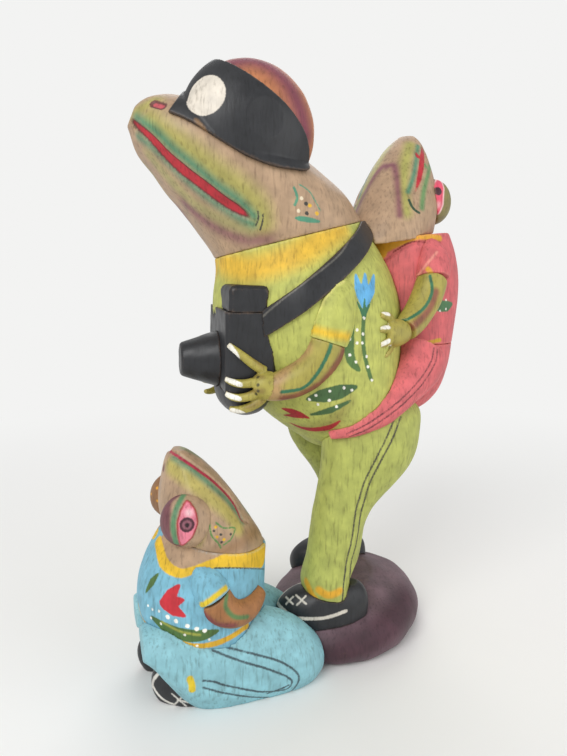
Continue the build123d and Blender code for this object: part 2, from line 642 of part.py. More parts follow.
for side, sign in SIDES.items():
    kneeler_eyes[side] = trimmed(
        young_eye(KNEELER_NECK, *KNEELER_HEAD_SIZE, KNEELER_EYE_RADIUS, sign), kneeler_head_form
    )
    shoe_x, shoe_y, shoe_turn = KNEELER_SHOE_PLACES[side]
    shoe_base = Plane(Location((shoe_x, shoe_y, 0), (0, 0, shoe_turn)))
    shoe_form = stacked_form(
        shoe_base, KNEELER_SHOE_HALF_WIDTH, KNEELER_SHOE_HALF_LENGTH, KNEELER_SHOE_HEIGHT, KNEELER_SHOE_SHARES
    )
    kneeler_shoes[side] = trimmed(shoe_form)
    leg_half = kept_side(folded_leg(-sign), KNEELER_MIDDLE, KNEELER_HALF[side])
    kneeler_legs[side] = trimmed(leg_half, kneeler_form, rock_form, shoe_form, shoes["left"])
    sleeve_form = limb(KNEELER, *KNEELER_SIZE, KNEELER_SLEEVE_SHARES, KNEELER_ARM_RADIUS, sign)
    forearm_form = limb(KNEELER, *KNEELER_SIZE, KNEELER_FOREARM_SHARES, KNEELER_ARM_RADIUS, sign)
    kneeler_sleeves[side] = trimmed(sleeve_form, kneeler_form)
    kneeler_forearms[side] = trimmed(forearm_form, kneeler_form, sleeve_form, kneeler_legs[side])
kneeler_torso = trimmed(kneeler_form, rock_form)

write_piece(rock, "rock_base")
write_piece(torso, "standing_torso")
write_piece(head, "standing_head")
write_piece(sunglasses, "sunglasses")
write_piece(camera, "camera_body")
write_piece(prism, "camera_prism_housing")
write_piece(lens, "camera_lens")
write_piece(grip, "camera_grip")
write_piece(rider_torso, "rider_torso")
write_piece(rider_trousers, "rider_trousers")
write_piece(rider_head, "rider_head")
write_piece(kneeler_torso, "kneeling_torso")
write_piece(kneeler_head, "kneeling_head")
write_piece(head_peg, "head_dowel")
write_piece(camera_peg, "camera_dowel")
write_piece(rider_peg, "rider_dowel")
for side in SIDES:
    write_piece(eyes[side], f"standing_{side}_eye")
    write_piece(legs[side], f"standing_{side}_leg")
    write_piece(shoes[side], f"standing_{side}_shoe")
    write_piece(sleeves[side], f"standing_{side}_sleeve")
    write_piece(forearms[side], f"standing_{side}_forearm")
    write_piece(hands[side], f"standing_{side}_hand")
    write_piece(leg_pegs[side], f"{side}_leg_dowel")
    write_piece(straps[side], f"{side}_camera_strap")
    write_piece(rider_eyes[side], f"rider_{side}_eye")
    write_piece(rider_legs[side], f"rider_{side}_leg")
    write_piece(rider_sleeves[side], f"rider_{side}_sleeve")
    write_piece(rider_forearms[side], f"rider_{side}_forearm")
    write_piece(rider_hands[side], f"rider_{side}_hand")
    write_piece(kneeler_eyes[side], f"kneeling_{side}_eye")
    write_piece(kneeler_legs[side], f"kneeling_{side}_leg")
    write_piece(kneeler_shoes[side], f"kneeling_{side}_shoe")
    write_piece(kneeler_sleeves[side], f"kneeling_{side}_sleeve")
    write_piece(kneeler_forearms[side], f"kneeling_{side}_forearm")
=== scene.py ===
"""Looks of the carved and painted frog group: carved surfaces, brushed paint, light and camera."""

import logging
import math
from dataclasses import dataclass, field
from enum import Enum

import bpy
import numpy as np
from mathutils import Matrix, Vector, noise
from mathutils.bvhtree import BVHTree


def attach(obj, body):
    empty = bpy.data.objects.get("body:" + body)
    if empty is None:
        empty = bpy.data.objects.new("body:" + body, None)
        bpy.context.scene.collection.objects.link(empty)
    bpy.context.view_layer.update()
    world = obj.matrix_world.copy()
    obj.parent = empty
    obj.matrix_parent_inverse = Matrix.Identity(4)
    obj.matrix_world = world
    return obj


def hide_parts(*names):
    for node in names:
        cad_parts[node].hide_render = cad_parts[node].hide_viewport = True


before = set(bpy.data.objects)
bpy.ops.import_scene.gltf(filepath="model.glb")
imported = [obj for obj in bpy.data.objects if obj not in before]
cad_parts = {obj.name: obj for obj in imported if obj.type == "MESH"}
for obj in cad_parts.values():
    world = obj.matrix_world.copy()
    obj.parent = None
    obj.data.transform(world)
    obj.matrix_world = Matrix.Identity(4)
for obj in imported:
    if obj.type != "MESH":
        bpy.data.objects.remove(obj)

LOG = logging.getLogger("frog_group")
MM = 0.001
BODY = "root"
# Distance that is stored where no stroke is near.
FAR_MM = 60.0
# Most points that one distance table measures.
BATCH = 4000
# Places laid along a stroke for each pixel of its length.
PLACES_PER_PIXEL = 1.6
# Rounds that spread how far a point stands out over its neighbours.
SPREAD_ROUNDS = 4
# How far past its soft edge a coat is measured.
PAST_EDGE_MM = 1.0

Point = tuple[float, float]


# Colour and node helpers


def linear(hex_colour: str) -> tuple[float, float, float, float]:
    """Turn an sRGB hex colour into linear light.

    Args:
        hex_colour: Colour such as "#b9bd62".

    Returns:
        Linear red, green, blue and an alpha of one.
    """
    channels = [int(hex_colour[start:start + 2], 16) / 255 for start in (1, 3, 5)]
    light = [c / 12.92 if c <= 0.04045 else ((c + 0.055) / 1.055) ** 2.4 for c in channels]
    return (*light, 1.0)


def add_node(tree: bpy.types.NodeTree, kind: str, settings: dict | None = None,
             values: dict | None = None, links: dict | None = None) -> bpy.types.Node:
    """Add one node with its settings, socket values and incoming links.

    Args:
        tree: Node tree that gets the node.
        kind: Blender's type name of the node.
        settings: Node properties by name.
        values: Input values by socket name or number.
        links: Output sockets to link, by input socket name or number.

    Returns:
        The new node.
    """
    node = tree.nodes.new(kind)
    for name, value in (settings or {}).items():
        setattr(node, name, value)
    for name, value in (values or {}).items():
        node.inputs[name].default_value = value
    for name, socket in (links or {}).items():
        tree.links.new(socket, node.inputs[name])
    return node


# Camera and brush strokes


@dataclass(frozen=True)
class Viewpoint:
    """Where the picture was taken from; lengths in mm, picture points in pixels."""

    place: tuple[float, float, float] = (349.6, -174.1, 230.0)
    azimuth_deg: float = 70.0
    pitch_deg: float = 7.82
    focal_px: float = 568.0
    width_px: float = 567.0
    height_px: float = 756.0
    sensor_mm: float = 36.0
    nearest_mm: float = 10.0

    def axes(self) -> tuple[Vector, Vector, Vector]:
        """Directions of the camera.

        Returns:
            Right, up and forward.
        """
        azimuth, pitch = math.radians(self.azimuth_deg), math.radians(self.pitch_deg)
        level = Vector((-math.sin(azimuth), math.cos(azimuth), 0))
        right = Vector((math.cos(azimuth), math.sin(azimuth), 0))
        forward = level * math.cos(pitch) - Vector((0, 0, math.sin(pitch)))
        return right, right.cross(forward), forward

    def ray(self, point: Point) -> Vector:
        """Direction from the camera through a picture point.

        Args:
            point: Column and row in the picture, in pixels.

        Returns:
            The direction, one long.
        """
        right, up, forward = self.axes()
        across = (point[0] - self.width_px / 2) / self.focal_px
        above = (self.height_px / 2 - point[1]) / self.focal_px
        return (forward + right * across + up * above).normalized()

    def make_camera(self) -> None:
        """Add the scene's camera at this viewpoint."""
        data = bpy.data.cameras.new("camera")
        data.sensor_width = self.sensor_mm
        data.lens = self.focal_px / self.height_px * self.sensor_mm
        data.clip_start = MM * self.nearest_mm
        camera = bpy.data.objects.new("camera", data)
        camera.location = Vector(self.place) * MM
        camera.rotation_euler = self.axes()[2].to_track_quat("-Z", "Y").to_euler()
        bpy.context.scene.collection.objects.link(camera)
        bpy.context.scene.camera = camera


VIEW = Viewpoint()


@dataclass(frozen=True)
class Stroke:
    """One pull of the brush: picture points that it passes, and its half widths in mm."""

    points: tuple[Point, ...]
    half_mm: tuple[float, ...] = (1.0,)

    def samples(self) -> list[tuple[Point, float]]:
        """Even steps along a smooth curve through the points.

        Returns:
            A picture point and the stroke's half width for each step.
        """
        if len(self.points) == 1:
            return [(self.points[0], self.half_mm[0])]
        places = np.array([self.points[0], *self.points, self.points[-1]], float)
        last = len(self.points) - 1
        widths_at = np.linspace(0, last, len(self.half_mm))
        found = []
        for index in range(last):
            a, b, c, d = places[index:index + 4]
            steps = max(2, int(np.hypot(*(c - b)) * PLACES_PER_PIXEL))
            for step in range(steps + (index == last - 1)):
                t = step / steps
                place = 0.5 * (2 * b + (c - a) * t + (2 * a - 5 * b + 4 * c - d) * t ** 2
                               + (3 * b - a - 3 * c + d) * t ** 3)
                found.append((tuple(place), float(np.interp(index + t, widths_at, self.half_mm))))
        return found


@dataclass(frozen=True)
class Coat:
    """Strokes of one colour; soft_mm is how far their edge blends, cover how dense they are."""

    colour: str
    strokes: tuple[Stroke, ...]
    soft_mm: float = 0.35
    cover: float = 1.0


@dataclass(frozen=True)
class Groove:
    """A carved line: strokes, how deep it goes (less than zero stands proud), and its soft edge."""

    strokes: tuple[Stroke, ...]
    depth_mm: float
    soft_mm: float = 1.5


def line(half_mm: float | tuple[float, ...], *points: Point) -> Stroke:
    """A stroke from its half widths and points."""
    return Stroke(points, half_mm if isinstance(half_mm, tuple) else (half_mm,))


def dots(radius_mm: float, *points: Point) -> tuple[Stroke, ...]:
    """Round dots of one radius."""
    return tuple(Stroke((point,), (radius_mm,)) for point in points)


@dataclass(frozen=True)
class Mirror:
    """Plane through which a figure's far side repeats its near side; mm."""

    through: tuple[float, float, float] = (0.0, 0.0, 0.0)
    toward: tuple[float, float, float] = (1.0, 0.0, 0.0)

    def fold(self, places: np.ndarray) -> np.ndarray:
        """Move the places on the far side to the near side.

        Args:
            places: Points, one a row, in mm.

        Returns:
            The same points, with those beyond the plane reflected.
        """
        normal = np.array(self.toward) / np.linalg.norm(self.toward)
        depth = np.minimum((places - np.array(self.through)) @ normal, 0.0)
        return places - 2 * depth[:, None] * normal[None, :]


# A plane so far out that nothing is folded over it.
UNFOLDED = Mirror((-1000.0, 0.0, 0.0))


# Carved pieces


@dataclass(frozen=True)
class Cut:
    """How finely a piece is meshed, how much its edges are rounded, and its tool marks; mm."""

    voxel_mm: float = 0.9
    smooth_rounds: int = 3
    facet_mm: float = 0.22
    facet_size_mm: float = 9.0


def vertex_places(mesh: bpy.types.Mesh) -> np.ndarray:
    """Vertex places of a mesh, in mm."""
    flat = np.empty(len(mesh.vertices) * 3, np.float32)
    mesh.vertices.foreach_get("co", flat)
    return flat.reshape(-1, 3).astype(float) / MM


def vertex_normals(mesh: bpy.types.Mesh) -> np.ndarray:
    """Vertex normals of a mesh."""
    flat = np.empty(len(mesh.vertices) * 3, np.float32)
    mesh.vertex_normals.foreach_get("vector", flat)
    return flat.reshape(-1, 3).astype(float)


def distance_to(places: np.ndarray, line_places: np.ndarray, half_mm: np.ndarray, reach: float) -> np.ndarray:
    """Signed distance from places to a thick line, in mm, and FAR_MM beyond its reach.

    Args:
        places: Points to measure, one a row.
        line_places: Points along the line.
        half_mm: Half width of the line at each of its points.
        reach: How far beyond the line's edge distances matter.

    Returns:
        One distance a place, less than zero inside the line.
    """
    found = np.full(len(places), FAR_MM)
    margin = reach + half_mm.max()
    low, high = line_places.min(0) - margin, line_places.max(0) + margin
    near = np.flatnonzero(((places > low) & (places < high)).all(1))
    for start in range(0, len(near), BATCH):
        part = near[start:start + BATCH]
        away = np.linalg.norm(places[part][:, None, :] - line_places[None, :, :], axis=2)
        found[part] = (away - half_mm[None, :]).min(1)
    return found


@dataclass
class CarvedPiece:
    """A finely meshed copy of one solid, carved, hand-finished and ready for paint."""

    node: str
    slot: str
    cut: Cut = Cut()
    mirror: Mirror = Mirror()
    traced_on: str = ""
    object: bpy.types.Object = field(init=False)
    tree: BVHTree = field(init=False)
    middle: Vector = field(init=False)

    def make(self, paint: "PaintedWood", coats: tuple[Coat, ...] = (),
             grooves: tuple[Groove, ...] = ()) -> None:
        """Mesh, carve and paint the piece.

        Args:
            paint: Finish of the whole piece.
            coats: Coats over it, in the order they were painted.
            grooves: Carved lines.
        """
        self.build()
        self.carve(grooves)
        self.finish(paint, coats)

    def build(self) -> None:
        """Copy the solid's mesh, remesh it evenly and round its sawn edges."""
        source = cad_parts[self.node]
        self.object = bpy.data.objects.new("carved_" + self.node, source.data.copy())
        bpy.context.scene.collection.objects.link(self.object)
        remesh = self.object.modifiers.new("remesh", "REMESH")
        remesh.mode = "VOXEL"
        remesh.voxel_size = self.cut.voxel_mm * MM
        smooth = self.object.modifiers.new("smooth", "SMOOTH")
        smooth.iterations = self.cut.smooth_rounds
        seen = self.object.evaluated_get(bpy.context.evaluated_depsgraph_get())
        mesh = bpy.data.meshes.new_from_object(seen)
        self.object.modifiers.clear()
        self.object.data = mesh
        mesh.materials.clear()
        mesh.polygons.foreach_set("use_smooth", [True] * len(mesh.polygons))
        places = vertex_places(mesh)
        corner_lists = [polygon.vertices[:] for polygon in mesh.polygons]
        self.tree = BVHTree.FromPolygons([Vector(place) for place in places], corner_lists)
        self.middle = Vector(places.mean(0))
        PIECES[self.node] = self

    def trace(self, stroke: Stroke) -> tuple[np.ndarray, np.ndarray]:
        """Lay a stroke's picture points on this piece.

        Args:
            stroke: The stroke to lay.

        Returns:
            Places along the stroke in mm, and its half width at each.
        """
        eye = Vector(VIEW.place)
        places, halves = [], []
        for point, half in stroke.samples():
            direction = VIEW.ray(point)
            hit = self.tree.ray_cast(eye, direction)[0]
            if hit is None:
                beside = eye + direction * (self.middle - eye).dot(direction)
                hit = self.tree.find_nearest(beside)[0]
            places.append(tuple(hit))
            halves.append(half)
        return np.array(places), np.array(halves)

    def measure(self, strokes: tuple[Stroke, ...], reach: float) -> np.ndarray:
        """Signed distance from each vertex to the nearest of some strokes.

        Args:
            strokes: Strokes, laid on the piece that faces the camera.
            reach: How far beyond a stroke's edge distances matter, in mm.

        Returns:
            One distance a vertex, in mm.
        """
        near_piece = PIECES[self.traced_on or self.node]
        folded = self.mirror.fold(vertex_places(self.object.data))
        found = np.full(len(folded), FAR_MM)
        for stroke in strokes:
            found = np.minimum(found, distance_to(folded, *near_piece.trace(stroke), reach))
        return found

    def carve(self, grooves: tuple[Groove, ...]) -> None:
        """Cut the grooves, then leave the shallow facets of a hand tool.

        Args:
            grooves: Carved lines of this piece.
        """
        mesh = self.object.data
        depth = np.zeros(len(mesh.vertices))
        for groove in grooves:
            away = self.measure(groove.strokes, groove.soft_mm)
            share = np.clip(1 - away / groove.soft_mm, 0, 1)
            depth += groove.depth_mm * share * share * (3 - 2 * share)
        places, normals = vertex_places(mesh), vertex_normals(mesh)
        facets = np.array([noise.noise(Vector(place) / self.cut.facet_size_mm) for place in places])
        places += normals * (self.cut.facet_mm * facets - depth)[:, None]
        places[:, 2] = places[:, 2].clip(min=0.0)
        mesh.vertices.foreach_set("co", (places * MM).astype(np.float32).ravel())
        mesh.update()
        self.mark_edges()

    def mark_edges(self) -> None:
        """Store how far each vertex stands out from its neighbours, for worn paint on edges and painted shade
        in hollows.
        """
        mesh = self.object.data
        ends = np.empty(len(mesh.edges) * 2, np.int32)
        mesh.edges.foreach_get("vertices", ends)
        ends = ends.reshape(-1, 2)
        places, normals = vertex_places(mesh), vertex_normals(mesh)
        count = np.bincount(ends.ravel(), minlength=len(places)).clip(1)
        around = np.stack([
            np.bincount(ends[:, 0], places[ends[:, 1], axis], len(places))
            + np.bincount(ends[:, 1], places[ends[:, 0], axis], len(places))
            for axis in range(3)
        ], 1) / count[:, None]
        raised = ((places - around) * normals).sum(1) / self.cut.voxel_mm
        for _ in range(SPREAD_ROUNDS):
            raised = 0.5 * raised + 0.5 * (
                np.bincount(ends[:, 0], raised[ends[:, 1]], len(places))
                + np.bincount(ends[:, 1], raised[ends[:, 0]], len(places))) / count
        self.store("raised", raised)

    def store(self, name: str, values: np.ndarray) -> None:
        """Keep one number a vertex under a name."""
        attribute = self.object.data.attributes.new(name, "FLOAT", "POINT")
        attribute.data.foreach_set("value", values.astype(np.float32))

    def finish(self, paint: "PaintedWood", coats: tuple[Coat, ...]) -> None:
        """Paint the piece and put it in the place of its node.

        Args:
            paint: Finish of the whole piece.
            coats: Coats over it, in the order they were painted.
        """
        for number, coat in enumerate(coats):
            self.store(f"coat_{number}", self.measure(coat.strokes, 2 * coat.soft_mm + PAST_EDGE_MM))
        self.object.data.materials.append(paint.material(self.node, coats))
        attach(self.object, BODY)
        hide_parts(self.node)
        LOG.info("%s: %d vertices, %d coats", self.node, len(self.object.data.vertices), len(coats))


PIECES: dict[str, CarvedPiece] = {}


class Side(Enum):
    """Side of a figure, as the figure itself would call it."""

    LEFT = "left"
    RIGHT = "right"


def paired(figure: str, side: Side, part: str, slot: str, cut: Cut = Cut(), mirror: Mirror = Mirror(),
           near: Side = Side.LEFT) -> CarvedPiece:
    """One of two like pieces, which the strokes on the near one paint.

    Args:
        figure: Figure that it belongs to, such as "rider".
        side: Side that it is on.
        part: What it is, such as "sleeve".
        slot: Its material slot.
        cut: How it is meshed and cut.
        mirror: Plane that the far side is folded over.
        near: Side that faces the camera, which is made first.

    Returns:
        The piece, not yet meshed.
    """
    return CarvedPiece(f"{figure}_{side.value}_{part}", slot, cut, mirror, f"{figure}_{near.value}_{part}")


# Finishes


class Sheen(Enum):
    """How a dried coat reflects: its roughness."""

    MATT = 0.62
    SATIN = 0.48
    WORN_SATIN = 0.42


@dataclass(frozen=True)
class PaintedWood:
    """Brushed acrylic on carved softwood: uneven colour, faint grain, bare wood on worn edges, painted shade
    in hollows.
    """

    name: str
    colour: str
    sheen: Sheen = Sheen.MATT
    bare: str = "#a5835c"
    # Tint of the dark grain streaks, and of the painted shade in hollows.
    grain_and_shade_tint: str = "#5a4a30"
    wear: float = 0.5
    mottle: float = 0.16
    brush_mm: float = 7.0
    brush_detail: float = 5.0
    brush_from: float = 0.3
    brush_to: float = 0.7
    grain_mm: float = 1.1
    grain_detail: float = 3.0
    ior: float = 1.47
    # How far a stroke's edge wanders.
    wander_mm: float = 0.9
    # Grain streaks are this much wider than the grain and lie along Z.
    streak_wide: float = 1.4
    streak_detail: float = 4.0
    streak_squash: float = 0.16
    streak_from: float = 0.52
    streak_to: float = 0.72
    streak_dark: float = 0.38
    # Where a point stands out this far, in shares of the mesh size, the paint is rubbed off.
    rub_uneven: float = 0.14
    rub_from: float = 0.11
    rub_to: float = 0.24
    # Where it lies back this far, painted shade darkens it, as shade falls in a hollow.
    hollow_shade_from: float = -0.02
    hollow_shade_to: float = -0.14
    hollow_shade_dark: float = 0.5
    sheen_spread: float = 0.1
    bump: float = 0.35
    bump_mm: float = 0.25

    def coated(self, tree: bpy.types.NodeTree, coats: tuple[Coat, ...],
               fine: bpy.types.NodeSocket) -> bpy.types.NodeSocket:
        """Lay the coats over the ground colour.

        Args:
            tree: Node tree of the material.
            coats: Coats in the order they were painted.
            fine: Fine noise, which makes their edges wander.

        Returns:
            The colour.
        """
        wander = add_node(tree, "ShaderNodeMath", {"operation": "MULTIPLY_ADD"},
                          {1: self.wander_mm, 2: -self.wander_mm / 2}, {0: fine}).outputs[0]
        ground = add_node(tree, "ShaderNodeRGB")
        ground.outputs[0].default_value = linear(self.colour)
        colour = ground.outputs[0]
        for number, coat in enumerate(coats):
            away = add_node(tree, "ShaderNodeAttribute", {"attribute_name": f"coat_{number}"}).outputs["Fac"]
            edge = add_node(tree, "ShaderNodeMath", {"operation": "ADD"},
                            links={0: away, 1: wander}).outputs[0]
            share = add_node(tree, "ShaderNodeMapRange", {"interpolation_type": "SMOOTHSTEP"},
                             {"From Min": -coat.soft_mm, "From Max": coat.soft_mm,
                              "To Min": coat.cover, "To Max": 0.0}, {"Value": edge}).outputs[0]
            colour = add_node(tree, "ShaderNodeMix", {"data_type": "RGBA"}, {7: linear(coat.colour)},
                              {0: share, 6: colour}).outputs[2]
        return colour

    def aged_and_shaded(self, tree: bpy.types.NodeTree, colour: bpy.types.NodeSocket, brush: bpy.types.NodeSocket,
             fine: bpy.types.NodeSocket, grain: bpy.types.NodeSocket) -> bpy.types.NodeSocket:
        """Brush marks, dark grain, rubbed edges and painted shade in hollows over the fresh paint.

        Args:
            tree: Node tree of the material.
            colour: Fresh colour.
            brush: Noise as wide as a brush mark.
            fine: Noise as wide as the grain.
            grain: Noise stretched along the grain.

        Returns:
            The aged colour, with painted shade in its hollows.
        """
        tone = add_node(tree, "ShaderNodeMapRange",
                        values={"From Min": self.brush_from, "From Max": self.brush_to,
                                "To Min": 1 - self.mottle, "To Max": 1 + self.mottle},
                        links={"Value": brush}).outputs[0]
        colour = add_node(tree, "ShaderNodeHueSaturation", links={"Value": tone, "Color": colour}).outputs[0]
        streak = add_node(tree, "ShaderNodeMapRange",
                          values={"From Min": self.streak_from, "From Max": self.streak_to,
                                  "To Max": self.streak_dark}, links={"Value": grain}).outputs[0]
        colour = add_node(tree, "ShaderNodeMix", {"data_type": "RGBA", "blend_type": "MULTIPLY"},
                          {7: linear(self.grain_and_shade_tint)}, {0: streak, 6: colour}).outputs[2]
        raised = add_node(tree, "ShaderNodeAttribute", {"attribute_name": "raised"}).outputs["Fac"]
        rubbed = add_node(tree, "ShaderNodeMath", {"operation": "MULTIPLY_ADD"}, {1: self.rub_uneven},
                          {0: fine, 2: raised}).outputs[0]
        bare = add_node(tree, "ShaderNodeMapRange",
                        values={"From Min": self.rub_from, "From Max": self.rub_to, "To Max": self.wear},
                        links={"Value": rubbed}).outputs[0]
        colour = add_node(tree, "ShaderNodeMix", {"data_type": "RGBA"}, {7: linear(self.bare)},
                          {0: bare, 6: colour}).outputs[2]
        # Painted shade: where the surface lies back in a hollow, the colour is darkened towards the tint.
        hollow_shade = add_node(tree, "ShaderNodeMapRange",
                        values={"From Min": self.hollow_shade_from, "From Max": self.hollow_shade_to,
                                "To Max": self.hollow_shade_dark}, links={"Value": raised}).outputs[0]
        return add_node(tree, "ShaderNodeMix", {"data_type": "RGBA", "blend_type": "MULTIPLY"},
                        {7: linear(self.grain_and_shade_tint)}, {0: hollow_shade, 6: colour}).outputs[2]

    def material(self, piece: str, coats: tuple[Coat, ...]) -> bpy.types.Material:
        """Make the node material of one piece.

        Args:
            piece: Name of the piece, for the material's name.
            coats: Coats over the ground colour, in the order they were painted.

        Returns:
            The new material.
        """
        material = bpy.data.materials.new(f"{self.name} {piece}")
        material.use_nodes = True
        tree = material.node_tree
        tree.nodes.clear()
        per_metre = 1 / MM
        space = add_node(tree, "ShaderNodeTexCoord").outputs["Object"]
        along = add_node(tree, "ShaderNodeMapping", values={"Scale": (1.0, 1.0, self.streak_squash)},
                         links={"Vector": space}).outputs["Vector"]
        brush, fine, grain = (
            add_node(tree, "ShaderNodeTexNoise", values={"Scale": per_metre / size_mm, "Detail": detail},
                     links={"Vector": where}).outputs["Fac"]
            for size_mm, detail, where in (
                (self.brush_mm, self.brush_detail, space), (self.grain_mm, self.grain_detail, space),
                (self.grain_mm * self.streak_wide, self.streak_detail, along)))
        colour = self.aged_and_shaded(tree, self.coated(tree, coats, fine), brush, fine, grain)
        rough = add_node(tree, "ShaderNodeMapRange",
                         values={"To Min": self.sheen.value - self.sheen_spread,
                                 "To Max": self.sheen.value + self.sheen_spread},
                         links={"Value": brush}).outputs[0]
        bump = add_node(tree, "ShaderNodeBump", values={"Strength": self.bump, "Distance": self.bump_mm * MM},
                        links={"Height": grain}).outputs[0]
        shader = add_node(tree, "ShaderNodeBsdfPrincipled", values={"IOR": self.ior},
                          links={"Base Color": colour, "Roughness": rough, "Normal": bump}).outputs[0]
        add_node(tree, "ShaderNodeOutputMaterial", links={"Surface": shader})
        return material


# A thin brown wash on every frog's skin, so the grain and the pale wood show through.
SKIN = PaintedWood("acrylic washed over carved softwood", "#b09376", Sheen.SATIN, bare="#c4a67c")
# Eyelids have a smoother coat, which catches a soft light.
LID = PaintedWood("satin acrylic on a carved eyelid", "#b9774f", Sheen.SATIN, bare="#c99a68")
OLIVE_LID = PaintedWood("olive acrylic on a carved eyelid", "#857c4a", Sheen.SATIN)
BROWN_LID = PaintedWood("brown acrylic on a carved eyelid", "#8f6845", Sheen.SATIN)
# The black pieces shine most, and handling has rubbed their edges to brown wood.
BLACK = PaintedWood("worn black acrylic on softwood", "#26272a", Sheen.WORN_SATIN, bare="#6b5442", wear=0.7)
# Cloth is matt and chalky, and its raised edges turn a paler tone of itself.
GREEN = PaintedWood("matt green acrylic on softwood", "#b7bb60", bare="#dedb86", wear=0.7)
TROUSER_GREEN = PaintedWood("matt olive acrylic on softwood", "#adb35c", bare="#d6d67c")
PINK = PaintedWood("matt pink acrylic on softwood", "#d2676a", bare="#f0a08e")
BLUE = PaintedWood("matt blue acrylic on softwood", "#79b3c8", bare="#b8dbe0")
TROUSER_BLUE = PaintedWood("matt pale blue acrylic on softwood", "#8cc0ca", bare="#b9dfe4")
# The rock is blotched in large patches, as a wash dries on a broad surface.
# Its dark tint goes into the grain streaks and into the painted shade in hollows.
ROCK = PaintedWood("maroon wash over grey acrylic", "#6e5860", grain_and_shade_tint="#3c2430", mottle=0.3, brush_mm=16.0)
# Bare arms are a wash like the skin, in olive or brown.
ARM = PaintedWood("olive acrylic washed over softwood", "#a79c4a", Sheen.SATIN, bare="#c8b070")
BROWN_ARM = PaintedWood("brown acrylic wash on softwood", "#a06c40", Sheen.SATIN)
# Turned wood without paint, even and matt.
PEG = PaintedWood("turned birch dowel", "#c8a878", wear=0.0)

WHITE_DOT, CREAM, GOLD = "#f2f0e6", "#e4d5b8", "#e3b32c"
INK, MOUTH_RED, TEAL, MOSS = "#3b3a34", "#b82a35", "#3f8468", "#a6a44c"
MAROON, ARM_MAROON, ARM_TEAL, LEAF_TEAL = "#7d4258", "#86473a", "#35704f", "#4f8f72"
NOSTRIL_BROWN, PUPIL_MAROON = "#6b3d38", "#4a2430"


# Figures


@dataclass
class RockBase:
    """The rounded rock, with painted shade on its lower side."""

    cut: Cut = Cut(1.3, facet_mm=1.0, facet_size_mm=16.0)

    def build(self) -> None:
        """Carve and paint the rock."""
        # Painted shade: the rock's lower side, away from the light, is darkened.
        painted_shade_side = line(11.0, (300, 662), (340, 654), (380, 634), (410, 602))
        CarvedPiece("rock_base", "rock_paint", self.cut).make(ROCK, (Coat("#432530", (painted_shade_side,), 8.0, 0.9),))


